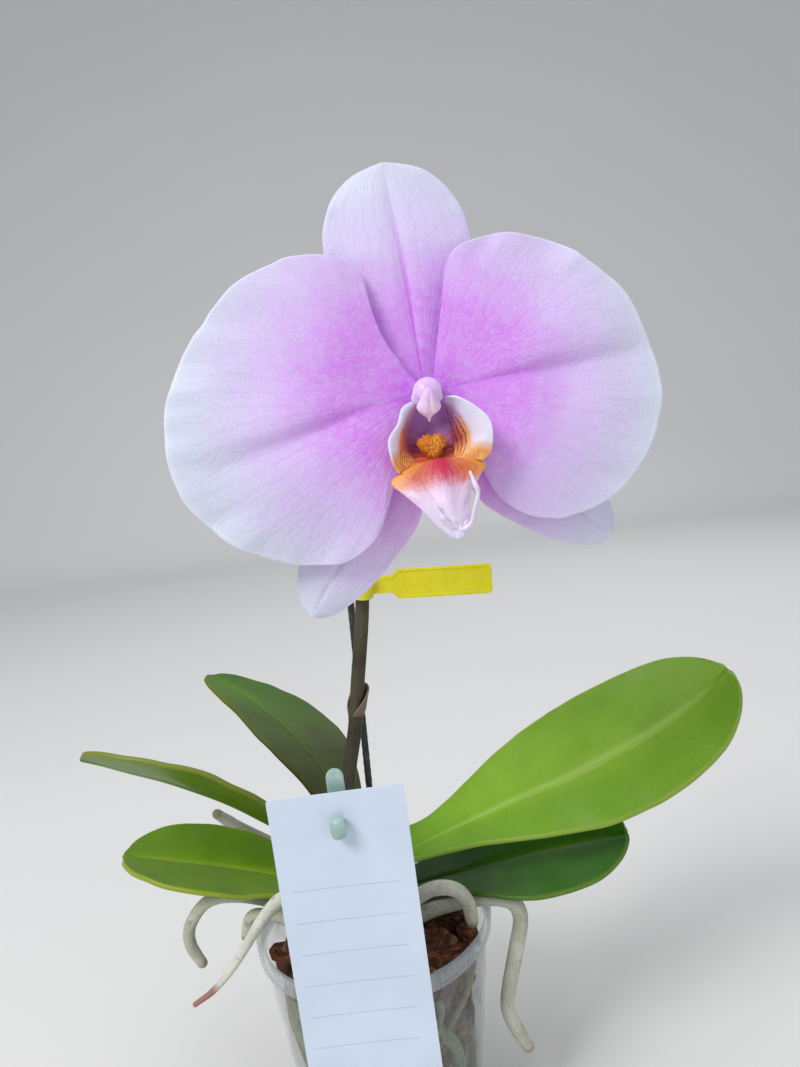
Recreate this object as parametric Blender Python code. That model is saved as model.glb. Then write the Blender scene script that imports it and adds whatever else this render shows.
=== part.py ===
"""A moth orchid with one large flower, rooted in a clear nursery pot.

Metres, +Z up.  The origin is the middle of the pot's flat underside, and the
flower faces -Y.  The flower's own pieces are drawn in the flower's plane:
x across, y up and z out of the face, under the empty flower_frame.
"""
import math
import random
from collections import namedtuple

import bmesh
import bpy
from mathutils import Vector

# ---------------------------------------------------------------- driving dimensions
CLEARANCE = 0.0004             # air left between pieces that touch

POT_RIM_D = 0.090
POT_BASE_D = 0.066
POT_HEIGHT = 0.085
POT_WALL = 0.0012
POT_FLOOR = 0.0018
RIM_LIP = 0.0012               # how far the lip stands out of the wall
RIM_BAND = 0.006               # height of the stiff band under the lip
DRAIN_D = 0.008
DRAIN_RING_D = 0.036
DRAIN_COUNT = 6

BARK_DEPTH_BELOW_RIM = 0.011
WALL_ROOT_D = 0.0052
WALL_ROOT_COUNT = 6

CROWN_D = 0.016
CROWN_SUNK = 0.014             # how deep the stem sits in the bark
CROWN_ABOVE_BARK = 0.042

LEAF_THICKNESS = 0.0019
SEPAL_THICKNESS = 0.0009
PETAL_THICKNESS = 0.0010
LIP_THICKNESS = 0.0009
BRACT_THICKNESS = 0.0006

SPIKE_D = 0.0056
SPIKE_TIP_D = 0.0042
PEDICEL_D = 0.0034
STAKE_D = 0.0026

FLOWER_WIDTH = 0.120           # tip to tip across the two petals
FLOWER_CENTRE = (0.0366, -0.0889, 0.2752)
FLOWER_TURN = 6.0              # degrees toward +X
FLOWER_LIFT = 3.0              # degrees the face looks upward
COLUMN_D = 0.0072              # on a flower 120 mm wide; it grows with the flower

CARD_WIDTH = 0.044
CARD_LENGTH = 0.110
CARD_THICKNESS = 0.0005
CARD_HOLE_D = 0.0046
CARD_HOLE_DROP = 0.0102        # hole centre below the top edge
HOLDER_WIDTH = 0.0056
HOLDER_THICKNESS = 0.0020
PEG_D = 0.0030
PEG_HEIGHT = 0.1465            # height of the peg's axis, over a bark top at 74 mm
PEG_REACH = 0.0034             # from the card to the knob's middle
KNOB_D = 0.0052
KNOB_LENGTH = 0.0072

LOOP_BAND = 0.0075             # height of the strap round the spike
LOOP_TAG_LENGTH = 0.041
LOOP_TAG_HEIGHT = 0.0104
LOOP_TAG_THICKNESS = 0.0009

FLOWER_SCALE = FLOWER_WIDTH / 0.120
MM = 0.001
BARK_TOP = POT_HEIGHT - BARK_DEPTH_BELOW_RIM
PLANT_LIFT = BARK_TOP - 0.074  # the paths below are drawn for a bark top at 74 mm
PEG_Z = PEG_HEIGHT + PLANT_LIFT
BASE_R = POT_BASE_D / 2
RIM_R = POT_RIM_D / 2 - RIM_LIP


# ---------------------------------------------------------------- helpers
def clear_scene():
    for obj in list(bpy.data.objects):
        bpy.data.objects.remove(obj, do_unlink=True)


def material(name, colour, roughness, metallic=0.0):
    """A Principled material from an 0-255 colour."""
    mat = bpy.data.materials.new(name)
    mat.use_nodes = True
    shader = mat.node_tree.nodes["Principled BSDF"]
    linear = [(c / 255) ** 2.2 for c in colour]
    shader.inputs["Base Color"].default_value = (*linear, 1.0)
    shader.inputs["Roughness"].default_value = roughness
    shader.inputs["Metallic"].default_value = metallic
    mat.diffuse_color = (*linear, 1.0)
    return mat


def add_mesh(name, verts, faces, mat, parent=None, smooth=True):
    mesh = bpy.data.meshes.new(name)
    mesh.from_pydata([tuple(v) for v in verts], [], faces)
    mesh.validate()
    obj = bpy.data.objects.new(name, mesh)
    bpy.context.collection.objects.link(obj)
    if mat:
        mesh.materials.append(mat)
    if smooth:
        mesh.shade_smooth()
    obj.parent = parent
    return obj


def add_cutter(obj):
    obj.hide_render = True
    obj.display_type = "WIRE"
    return obj


def as_mesh(obj):
    """The same shape as a mesh object, which a Boolean can take."""
    bpy.context.view_layer.update()
    solid = obj.evaluated_get(bpy.context.evaluated_depsgraph_get())
    mesh = bpy.data.meshes.new_from_object(solid)
    work = bmesh.new()
    work.from_mesh(mesh)
    bmesh.ops.remove_doubles(work, verts=work.verts, dist=1e-7)
    bmesh.ops.recalc_face_normals(work, faces=work.faces)
    work.to_mesh(mesh)
    work.free()
    name, parent = obj.name, obj.parent
    bpy.data.objects.remove(obj, do_unlink=True)
    out = bpy.data.objects.new(name, mesh)
    bpy.context.collection.objects.link(out)
    out.parent = parent
    return out


def boolean(obj, other, operation):
    if other.type == "CURVE":
        other = as_mesh(other)
    mod = obj.modifiers.new(other.name, "BOOLEAN")
    mod.operation = operation
    mod.solver = "EXACT"
    mod.object = add_cutter(other)


def sheet(name, rows, thickness, mat, parent=None):
    """A thin curved blade through a grid of points, thickened both ways."""
    width = len(rows[0])
    faces = []
    for j in range(len(rows) - 1):
        for i in range(width - 1):
            a = j * width + i
            faces.append((a, a + 1, a + width + 1, a + width))
    obj = add_mesh(name, [p for row in rows for p in row], faces, mat, parent)
    mod = obj.modifiers.new("thickness", "SOLIDIFY")
    mod.thickness = thickness
    mod.offset = 0.0
    return obj


def catmull(points, steps):
    """Points of a smooth curve through the given ones, spaced evenly along it."""
    dense = []
    ends = [points[0] * 2 - points[1], *points, points[-1] * 2 - points[-2]]
    for i in range(1, len(ends) - 2):
        a, b, c, d = ends[i - 1:i + 3]
        for k in range(12):
            t = k / 12
            dense.append(0.5 * (2 * b + (c - a) * t + (2 * a - 5 * b + 4 * c - d) * t * t
                                + (3 * b - a - 3 * c + d) * t ** 3))
    dense.append(points[-1])
    lengths = [0.0]
    for a, b in zip(dense, dense[1:]):
        lengths.append(lengths[-1] + (b - a).length)
    out = []
    j = 0
    for k in range(steps + 1):
        goal = lengths[-1] * k / steps
        while j < len(dense) - 2 and lengths[j + 1] < goal:
            j += 1
        span = lengths[j + 1] - lengths[j]
        out.append(dense[j].lerp(dense[j + 1], (goal - lengths[j]) / span if span else 0.0))
    return out


def tube(name, points, radius, mat, parent=None, resolution=2):
    """A round rod along points; radius is a function of the share of the way along."""
    curve = bpy.data.curves.new(name, "CURVE")
    curve.dimensions = "3D"
    curve.bevel_depth = 1.0
    curve.bevel_resolution = resolution
    curve.render_resolution_u = 0
    curve.use_fill_caps = True
    spline = curve.splines.new("POLY")
    spline.points.add(len(points) - 1)
    for i, p in enumerate(points):
        spline.points[i].co = (*p, 1.0)
        spline.points[i].radius = radius(i / (len(points) - 1))
    spline.use_smooth = True
    obj = bpy.data.objects.new(name, curve)
    bpy.context.collection.objects.link(obj)
    curve.materials.append(mat)
    obj.parent = parent
    return obj


def turned(name, profile, mat, segments=40):
    """A body of revolution about Z from (radius, height) pairs."""
    verts = [(r, 0.0, z) for r, z in profile]
    mesh = bpy.data.meshes.new(name)
    mesh.from_pydata(verts, [(i, i + 1) for i in range(len(verts) - 1)], [])
    obj = bpy.data.objects.new(name, mesh)
    bpy.context.collection.objects.link(obj)
    mesh.materials.append(mat)
    mod = obj.modifiers.new("turn", "SCREW")
    mod.axis = "Z"
    mod.steps = segments
    mod.render_steps = segments
    mod.use_merge_vertices = True
    mod.merge_threshold = 0.00005
    mod.use_smooth_shade = True
    return obj


def box(name, size, centre, mat, parent=None):
    x, y, z = (s / 2 for s in size)
    verts = [(sx * x + centre[0], sy * y + centre[1], sz * z + centre[2])
             for sx in (-1, 1) for sy in (-1, 1) for sz in (-1, 1)]
    faces = [(0, 1, 3, 2), (4, 6, 7, 5), (0, 4, 5, 1), (2, 3, 7, 6), (0, 2, 6, 4), (1, 5, 7, 3)]
    return add_mesh(name, verts, faces, mat, parent, smooth=False)


def cylinder(name, radius, start, end, mat, sides=16):
    """A straight closed cylinder between two points."""
    start, end = Vector(start), Vector(end)
    mesh = bpy.data.meshes.new(name)
    work = bmesh.new()
    bmesh.ops.create_cone(work, cap_ends=True, segments=sides, radius1=radius, radius2=radius,
                          depth=(end - start).length)
    work.to_mesh(mesh)
    work.free()
    mesh.materials.append(mat)
    mesh.shade_smooth()
    mesh.set_sharp_from_angle(angle=math.radians(40))
    obj = bpy.data.objects.new(name, mesh)
    bpy.context.collection.objects.link(obj)
    obj.location = (start + end) / 2
    obj.rotation_mode = "QUATERNION"
    obj.rotation_quaternion = Vector((0, 0, 1)).rotation_difference(end - start)
    return obj


def outline_plate(name, outline, thickness, mat):
    """A flat plate in the XZ plane from a closed outline, centred on y = 0."""
    n = len(outline)
    verts = [(x, -thickness / 2, z) for x, z in outline]
    verts += [(x, thickness / 2, z) for x, z in outline]
    faces = [tuple(range(n)), tuple(reversed(range(n, 2 * n)))]
    faces += [(i, n + i, n + (i + 1) % n, (i + 1) % n) for i in range(n)]
    return add_mesh(name, verts, faces, mat, smooth=False)


def smoothstep(x):
    x = min(max(x, 0.0), 1.0)
    return x * x * (3 - 2 * x)


def through(t, start, middle, end):
    """The quadratic that takes three values at t = 0, 1/2 and 1."""
    return start * (1 - t) * (1 - 2 * t) + middle * 4 * t * (1 - t) + end * t * (2 * t - 1)


def blade_width(t, base, peak, taper=2.4):
    """Half-width of a leaf or sepal at t along it, as a share of the greatest."""
    rise = base + (1 - base) * smoothstep(t / peak)
    past = max(0.0, (t - peak) / (1 - peak))
    return rise * math.sqrt(max(1 - past ** taper, 0.0)) + 0.03


# ---------------------------------------------------------------- pot and filling
def wall_radius(z):
    """Outer radius of the pot's wall at a height."""
    return BASE_R + (RIM_R - BASE_R) * z / POT_HEIGHT


def make_pot(mat):
    lip = POT_RIM_D / 2
    profile = [
        (0.0, POT_FLOOR),
        (wall_radius(POT_FLOOR) - POT_WALL, POT_FLOOR),
        (wall_radius(POT_HEIGHT) - POT_WALL, POT_HEIGHT),
        (lip - RIM_LIP * 0.35, POT_HEIGHT),
        (lip, POT_HEIGHT - RIM_LIP * 0.6),
        (lip, POT_HEIGHT - RIM_BAND + RIM_LIP * 0.6),
        (wall_radius(POT_HEIGHT - RIM_BAND), POT_HEIGHT - RIM_BAND),
        (wall_radius(0.003), 0.003),
        (BASE_R - 0.0012, 0.0),
        (0.0, 0.0),
    ]
    pot = turned("nursery_pot", profile, mat, segments=48)
    for i in range(DRAIN_COUNT):
        angle = 2 * math.pi * i / DRAIN_COUNT
        x = DRAIN_RING_D / 2 * math.cos(angle)
        y = DRAIN_RING_D / 2 * math.sin(angle)
        drill = cylinder(f"drain_cutter_{i + 1}", DRAIN_D / 2, (x, y, -0.01), (x, y, 0.01), mat)
        boolean(pot, drill, "DIFFERENCE")


def fill_radius(z):
    """Outer radius of the packed bark, leaving room for the roots at the wall."""
    return wall_radius(z) - POT_WALL - WALL_ROOT_D - 3 * CLEARANCE


def make_bark_fill(mat):
    bottom = POT_FLOOR + CLEARANCE
    profile = [
        (0.0, BARK_TOP),
        (fill_radius(BARK_TOP) - 0.004, BARK_TOP),
        (fill_radius(BARK_TOP) - 0.001, BARK_TOP - 0.002),
        (fill_radius(BARK_TOP - 0.006), BARK_TOP - 0.006),
        (fill_radius(bottom), bottom),
        (0.0, bottom),
    ]
    return turned("bark_fill", profile, mat, segments=36)


def make_bark_chips(mat):
    """Loose chunks lying on the packed bark, each a rough convex block."""
    rng = random.Random(11)
    # angle in degrees, distance from the middle, length, turn in degrees
    spots = [(8, 29, 17, 20), (42, 31, 15, 70), (76, 30, 18, 10), (108, 31, 14, 45),
             (140, 30, 16, 85), (172, 31, 17, 15), (204, 30, 15, 60), (232, 32, 13, 5),
             (290, 31, 16, 75), (317, 30, 16, 30), (342, 31, 10, 60), (50, 16, 9, 0)]
    for i, (angle, distance, length, turn) in enumerate(spots):
        half = Vector((length / 2, length * 0.31, length * 0.2)) * MM
        verts = []
        for sx in (-1, 1):
            for sy in (-1, 1):
                for sz in (-1, 1):
                    pull = Vector([rng.uniform(0.72, 1.0) for _ in range(3)])
                    verts.append(Vector((sx * half.x * pull.x, sy * half.y * pull.y, sz * half.z * pull.z)))
        lowest = min(v.z for v in verts)
        faces = [(0, 1, 3, 2), (4, 6, 7, 5), (0, 4, 5, 1), (2, 3, 7, 6), (0, 2, 6, 4), (1, 5, 7, 3)]
        chip = add_mesh(f"bark_chip_{i + 1:02d}", verts, faces, mat, smooth=False)
        split = chip.modifiers.new("split", "TRIANGULATE")
        split.quad_method = "FIXED"
        a = math.radians(angle)
        chip.location = (distance * MM * math.cos(a), distance * MM * math.sin(a),
                         BARK_TOP + CLEARANCE - lowest)
        chip.rotation_euler = (0, 0, a + math.radians(turn))


def make_wall_roots(mat):
    """Roots that run down between the bark and the clear wall."""
    low = 0.012
    high = BARK_TOP - 0.010
    for i in range(WALL_ROOT_COUNT):
        start = 2 * math.pi * i / WALL_ROOT_COUNT - 1.15
        points = []
        for k in range(13):
            t = k / 12
            z = high + (low - high) * t
            angle = start + 0.42 * math.sin(2.6 * t + i) + 0.15 * t
            r = wall_radius(z) - POT_WALL - WALL_ROOT_D / 2 - CLEARANCE - 0.0002
            points.append(Vector((r * math.cos(angle), r * math.sin(angle), z)))
        tube(f"wall_root_{i + 1}", points, root_radius(WALL_ROOT_D, 0.5), mat)


# ---------------------------------------------------------------- plant
def root_radius(diameter, blunt=0.35):
    """Radius along a root that rounds off at its growing tip."""
    def radius(t):
        tip = math.sqrt(max(0.0, 1 - max(0.0, (t - 0.94) / 0.06) ** 2))
        return diameter / 2 * (1 - 0.12 * t) * (blunt + (1 - blunt) * tip)
    return radius


def crown_profile():
    r = CROWN_D / 2
    top = BARK_TOP + CROWN_ABOVE_BARK
    bottom = BARK_TOP - CROWN_SUNK
    return [
        (0.0, top),
        (r * 0.35, top - 0.001),
        (r * 0.62, top - 0.006),
        (r * 0.88, top - 0.016),
        (r, top - 0.026),
        (r, bottom + 0.004),
        (r * 0.7, bottom),
        (0.0, bottom),
    ]


def make_crown(mat, fill):
    """The short stem that carries the leaves, standing in its own socket in the bark."""
    turned("crown_stem", crown_profile(), mat, segments=20)
    socket = cylinder("crown_socket_cutter", CROWN_D / 2 + CLEARANCE,
                      (0, 0, BARK_TOP - CROWN_SUNK - CLEARANCE), (0, 0, BARK_TOP + 0.01), mat,
                      sides=24)
    boolean(fill, socket, "DIFFERENCE")


# heading: degrees from +X at the base and the tip; rise: degrees above level at the
# base, middle and tip; roll: degrees the blade leans at the base and the tip.
Leaf = namedtuple("Leaf", "name height heading rise roll length width peak neck")
LEAVES = [
    Leaf("leaf_upper_right", 0.1030, (10, 1), (22, 17, 44), (6, 34), 0.152, 0.060, 0.56, 0.24),
    Leaf("leaf_lower_right", 0.0905, (14, -14), (6, 8, 12), (0, 20), 0.093, 0.053, 0.58, 0.26),
    Leaf("leaf_lower_left", 0.0935, (173, 183), (19, 15, 16), (-2, -2), 0.087, 0.044, 0.60, 0.34),
    Leaf("leaf_middle_left", 0.1010, (180, 181), (54, 31, 20), (38, 26), 0.110, 0.047, 0.60, 0.28),
    Leaf("leaf_upper_left", 0.1090, (117, 148), (58, 25, 24), (20, 16), 0.110, 0.045, 0.50, 0.30),
]
LEAF_FOLD = 0.16               # how far the edges stand above the midrib


def leaf_rows(leaf, rows=13, columns=6):
    heading = math.radians(leaf.heading[0])
    start = CROWN_D / 2 + CLEARANCE + LEAF_THICKNESS / 2
    middle = Vector((start * math.cos(heading), start * math.sin(heading), leaf.height + PLANT_LIFT))
    out = []
    before = 0.0
    for j in range(rows + 1):
        t = 1 - (1 - j / rows) ** 1.5
        az = math.radians(leaf.heading[0] + (leaf.heading[1] - leaf.heading[0]) * t)
        el = math.radians(through(t, *leaf.rise))
        roll = math.radians(leaf.roll[0] + (leaf.roll[1] - leaf.roll[0]) * t)
        along = Vector((math.cos(el) * math.cos(az), math.cos(el) * math.sin(az), math.sin(el)))
        side = Vector((-math.sin(az), math.cos(az), 0.0))
        up = along.cross(side)
        across = side * math.cos(roll) + up * math.sin(roll)
        normal = up * math.cos(roll) - side * math.sin(roll)
        middle = middle + along * (leaf.length * (t - before))
        before = t
        half = leaf.width / 2 * blade_width(t, leaf.neck, leaf.peak)
        row = []
        for i in range(columns + 1):
            s = 2 * i / columns - 1
            row.append(middle + across * (s * half) + normal * (LEAF_FOLD * half * abs(s) ** 1.5))
        out.append(row)
    return out


def make_leaves(mat):
    for leaf in LEAVES:
        sheet(leaf.name, leaf_rows(leaf), LEAF_THICKNESS, mat)


SPIKE_PATH = [(-3.4, -11.4, 105), (-4.2, -9.6, 120), (-3.0, -5.0, 140), (2.0, -5.0, 161),
              (5.4, -7.4, 180), (9.6, -10.6, 203), (12.6, -15.2, 225), (15.4, -22.0, 246),
              (19.0, -33.0, 267), (23.4, -46.0, 281), (27.0, -57.5, 286.5)]
PEDICEL_PATH = [(28.4, -61.6, 287.2), (31.4, -68.0, 286.6), (34.4, -75.6, 282.4)]
ROOT_PATHS = {
    "aerial_root_raised": (5.4, [(-7.0, 10.4, 81), (-22, 26, 88), (-40, 35, 97), (-54, 36, 106),
                                 (-64.8, 33, 117)]),
    "aerial_root_left": (5.2, [(-11.6, 0.6, 82), (-30, 1.6, 90), (-50, 1, 97), (-62, 0, 97),
                               (-70, 0, 89), (-71.6, 0, 80), (-67.4, 0, 70)]),
    "aerial_root_short": (4.6, [(-9.4, -6.6, 80), (-26, -8.4, 88.5), (-38, -8, 93.5), (-45.4, -7, 93),
                                (-48.4, -8, 84)]),
    "aerial_root_front": (6.0, [(-5.2, -10.6, 88), (-12, -18, 98), (-20, -24, 107), (-28, -26, 110.6),
                                (-35.6, -31, 106.4), (-45.6, -36, 94.6), (-52, -41, 90),
                                (-58.7, -45, 87.8)]),
    "aerial_root_over_bark": (5.6, [(9.6, -6.6, 87), (17, -12, 96), (24, -16, 101.6), (31, -18, 102),
                                    (35.4, -17, 96.6), (36.6, -15, 88.6)]),
    "aerial_root_right": (6.0, [(11.8, -1.6, 80), (22, -3, 85), (35, -5, 88.9), (45, -7, 90),
                                (52.6, -9.2, 88.6), (55, -10, 82), (52, -12, 71), (47.8, -14, 57.4),
                                (46.8, -14, 48.6), (49.8, -12, 38), (54, -10, 27.6)]),
    "aerial_root_back": (5.6, [(8.0, 8.8, 84), (13, 24, 89), (16, 38, 91.4), (18, 47.6, 87),
                               (20, 51.8, 73), (18.6, 50.6, 56)]),
}


def mm_points(points):
    """Points in metres from points in mm, raised or lowered with the bark's top."""
    return [Vector(p) * MM + Vector((0, 0, PLANT_LIFT)) for p in points]


def past_rim(point):
    """A root's point, moved out or in with the pot's rim where the root hangs over it."""
    flat = Vector((point.x, point.y, 0.0))
    share = smoothstep((flat.length - 0.030) / 0.015)
    return point + flat.normalized() * (POT_RIM_D / 2 - 0.045) * share


def spike_radius(t):
    return (SPIKE_D + (SPIKE_TIP_D - SPIKE_D) * t) / 2


def make_spike(mat):
    path = catmull(mm_points(SPIKE_PATH), 30)
    tube("flower_spike", path, spike_radius, mat, resolution=3)
    return path


def make_bract(name, path, share, length, mat, turn=0.0):
    """A small pointed sheath that clasps the spike at one of its nodes."""
    k = int(share * (len(path) - 1))
    centre = path[k]
    along = (path[k + 1] - path[k]).normalized()
    across = along.cross(Vector((0, 1, 0))).normalized()
    out = across.cross(along)
    rows = []
    for j in range(6):
        t = j / 5
        wrap = math.radians(150) * (1 - t) ** 0.7 + 0.08
        r = spike_radius(share) + CLEARANCE * 2 + 0.00035 + 0.0012 * t
        row = []
        for i in range(9):
            a = turn + wrap * (2 * i / 8 - 1)
            row.append(centre + along * (length * t) + (across * math.cos(a) + out * math.sin(a)) * r)
        rows.append(row)
    sheet(name, rows, BRACT_THICKNESS, mat)


def make_pedicel(mat, frame):
    behind = frame_point(frame, (0, 0, COLUMN_BACK - 0.0045))
    back = frame_point(frame, (0, 0, COLUMN_BACK - 0.0010))
    points = catmull([*mm_points(PEDICEL_PATH), behind, back], 14)
    tube("pedicel", points, lambda t: PEDICEL_D / 2 * (0.9 + 0.35 * t), mat)


def make_roots(mat):
    for name, (diameter, points) in ROOT_PATHS.items():
        path = catmull([past_rim(p) for p in mm_points(points)], 2 * len(points) + 4)
        tube(name, path, root_radius(diameter * MM), mat)


# ---------------------------------------------------------------- flower
COLUMN_BACK = -0.0050 * FLOWER_SCALE
COLUMN_R = COLUMN_D / 2 * FLOWER_SCALE
CLAW_R = COLUMN_R + 2 * CLEARANCE


def make_flower_frame():
    frame = bpy.data.objects.new("flower_frame", None)
    bpy.context.collection.objects.link(frame)
    frame.location = Vector(FLOWER_CENTRE) + Vector((0, 0, PLANT_LIFT))
    frame.rotation_euler = (math.radians(90 - FLOWER_LIFT), 0, math.radians(FLOWER_TURN))
    bpy.context.view_layer.update()
    return frame


def frame_point(frame, point):
    return frame.matrix_world @ Vector(point)


# Where each petal springs from, the span of its claw round the column, and its outline
# as (angle, reach in mm) seen from the place it springs from.
Petal = namedtuple("Petal", "name root claw outline crease")
PETALS = [
    Petal("petal_left", (-4.0, 1.5), (132, 200),
          [(107, 27), (109, 33), (116, 37), (128, 42.3), (140, 46.6), (152, 50), (165, 54),
           (178, 57.8), (189, 59.8), (199, 60), (209, 58), (219, 55), (230, 50.6), (241, 45.3),
           (248, 39.5), (251, 32.5), (248, 25), (240, 16.7)], 195),
    Petal("petal_right", (4.0, 1.5), (50, -22),
          [(83, 27), (80, 32), (72, 35.6), (60, 40), (47, 43.7), (34, 47), (20, 50.3),
           (6, 52.8), (-6, 55), (-17, 55.3), (-29, 53.7), (-40, 50.6), (-51, 45.4), (-60, 39.6),
           (-67, 33), (-69, 27.7), (-65, 21.6), (-58, 17.5)], 5),
]


def petal_depth(x, y, reach, crease):
    """How far the petal stands forward of the flower's plane at a point (mm)."""
    distance = math.hypot(x, y) / reach
    off_crease = math.atan2(y, x) - crease
    off_crease = math.atan2(math.sin(off_crease), math.cos(off_crease))
    bowl = 3.2 * smoothstep(distance / 0.45) - 5.5 * max(0.0, distance - 0.45) ** 1.6
    fold = 0.9 * math.exp(-(off_crease / 0.16) ** 2) * smoothstep(distance / 0.3)
    roll_back = -3.0 * (abs(off_crease) / 1.45) ** 3 * smoothstep(distance / 0.5)
    return 0.6 + bowl - fold + roll_back


def petal_rows(petal, rows=8, columns=22):
    scale = MM * FLOWER_SCALE
    root = Vector((*petal.root, 0.0))
    rim = []
    for angle, reach in petal.outline:
        a = math.radians(angle)
        rim.append(root + Vector((reach * math.cos(a), reach * math.sin(a), 0.0)))
    rim = catmull(rim, columns)
    crease = math.radians(petal.crease)
    out = []
    for j in range(rows + 1):
        share = (j / rows) ** 0.85
        row = []
        for i, edge in enumerate(rim):
            a = math.radians(petal.claw[0] + (petal.claw[1] - petal.claw[0]) * i / columns)
            claw = Vector((math.cos(a), math.sin(a), 0.0)) * (CLAW_R / scale)
            point = claw.lerp(edge, share)
            depth = petal_depth(point.x - root.x, point.y - root.y, 57.0, crease)
            row.append(Vector((point.x, point.y, depth)) * scale)
        out.append(row)
    return out


# base and tip in the flower's plane (mm), greatest half-width, how far the tip is set
# back, the place of the greatest width, the share of it left at the base, and how
# early the tip narrows
Sepal = namedtuple("Sepal", "name base tip half back peak neck taper")
SEPALS = [
    Sepal("dorsal_sepal", (-0.2, 4.9), (-3.8, 56.4), 17.8, 1.0, 0.56, 0.20, 2.0),
    Sepal("lateral_sepal_left", (-3.6, -4.4), (-34.2, -51.2), 12.9, 4.0, 0.42, 0.24, 1.5),
    Sepal("lateral_sepal_right", (3.9, -4.1), (45.4, -40.6), 12.6, 4.0, 0.42, 0.24, 1.6),
]


def sepal_rows(sepal, rows=11, columns=6):
    scale = MM * FLOWER_SCALE
    base = Vector((*sepal.base, 0.0))
    along = Vector((*sepal.tip, 0.0)) - base
    length = along.length
    along.normalize()
    across = Vector((along.y, -along.x, 0.0))
    out = []
    for j in range(rows + 1):
        t = math.sin(math.pi / 2 * j / rows) ** 1.15
        half = sepal.half * blade_width(t, sepal.neck, sepal.peak, sepal.taper)
        bow = 1.6 * math.sin(math.pi * t) - sepal.back * t ** 2
        row = []
        for i in range(columns + 1):
            s = 2 * i / columns - 1
            point = base + along * (length * t) + across * (s * half)
            depth = -3.0 + bow - 1.7 * s * s * smoothstep(t / 0.3)
            row.append(Vector((point.x, point.y, depth)) * scale)
        out.append(row)
    return out


def make_petals_and_sepals(mat, frame):
    for petal in PETALS:
        sheet(petal.name, petal_rows(petal), PETAL_THICKNESS, mat, frame)
    for sepal in SEPALS:
        sheet(sepal.name, sepal_rows(sepal), SEPAL_THICKNESS, mat, frame)


def lip_point(x, y, z):
    """A point of the column or lip, which lean a little to one side and down as they
    stand out of the flower; x, y and z are in mm."""
    return Vector((x - 0.15 * z, y - 0.08 * z, z)) * MM * FLOWER_SCALE


def make_column(mat, cap_mat, frame):
    scale = MM * FLOWER_SCALE
    path = catmull([Vector((0, 0, COLUMN_BACK)), lip_point(0, 0, 0), lip_point(0, 0.2, 4.5),
                    lip_point(0, -1.0, 8.0), lip_point(0, -2.6, 10.2)], 12)
    tube("column", path, lambda t: COLUMN_R * (0.84 + 0.16 * math.sin(math.pi * t)), mat, frame, 3)
    cap = blob("anther_cap", (2.9, 3.0, 2.0), 12, 8, lambda a, b: 1.0, cap_mat, frame)
    cap.location = lip_point(0, -4.2, 13.0)
    cap.rotation_euler = (math.radians(38), 0, 0)


def blob(name, radii, around, rings, swell, mat, parent=None):
    """A closed rounded lump; swell scales it by direction."""
    verts = [Vector((0, 0, 1.0)) * swell(0, 0)]
    for j in range(1, rings):
        b = math.pi * j / rings
        for i in range(around):
            a = 2 * math.pi * i / around
            verts.append(Vector((math.sin(b) * math.cos(a), math.sin(b) * math.sin(a),
                                 math.cos(b))) * swell(a, b))
    verts.append(Vector((0, 0, -1.0)) * swell(0, math.pi))
    scale = MM * FLOWER_SCALE
    verts = [Vector((v.x * radii[0], v.y * radii[1], v.z * radii[2])) * scale for v in verts]
    last = len(verts) - 1
    faces = [(0, 1 + i, 1 + (i + 1) % around) for i in range(around)]
    for j in range(rings - 2):
        a = 1 + j * around
        for i in range(around):
            k = (i + 1) % around
            faces.append((a + i, a + around + i, a + around + k, a + k))
    a = last - around
    faces += [(last, a + (i + 1) % around, a + i) for i in range(around)]
    return add_mesh(name, verts, faces, mat, parent)




def side_lobe_rows(side, spread):
    """One upright wing of the lip, from its foot beside the callus to its rounded top."""
    out = []
    for j in range(8):
        t = j / 7
        half = 5.4 * math.sqrt(max(0.0, 1 - (1.9 * t - 0.95) ** 2)) + 1.0
        row = []
        for i in range(5):
            s = 2 * i / 4 - 1
            swing = math.sin(math.pi * min(1.0, t * 1.05))
            x = side * (3.4 + spread * swing + 1.6 * t)
            y = -16.2 + 14.6 * t - 1.2 * s
            z = 7.4 - 1.0 * t + s * half * 0.9 + 1.2 * swing
            row.append(lip_point(x, y, z))
        out.append(row)
    return out


def midlobe_rows():
    """The front of the lip, shaped like a trowel with two square shoulders."""
    widths = [(0.0, 3.0), (0.10, 5.0), (0.20, 11.4), (0.32, 10.6), (0.5, 8.6), (0.7, 6.6),
              (0.86, 4.8), (1.0, 2.0)]
    out = []
    for t, half in widths:
        y = -15.6 - 18.2 * t
        z = 6.0 + 13.5 * t - 5.0 * t * t
        row = []
        for i in range(7):
            s = 2 * i / 6 - 1
            droop = 2.2 * abs(s) ** 1.6 * min(1.0, 3 * t)
            row.append(lip_point(s * half + 1.6 * t, y + 1.4 * s * s * (1 - t), z - droop))
        out.append(row)
    return out


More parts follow.
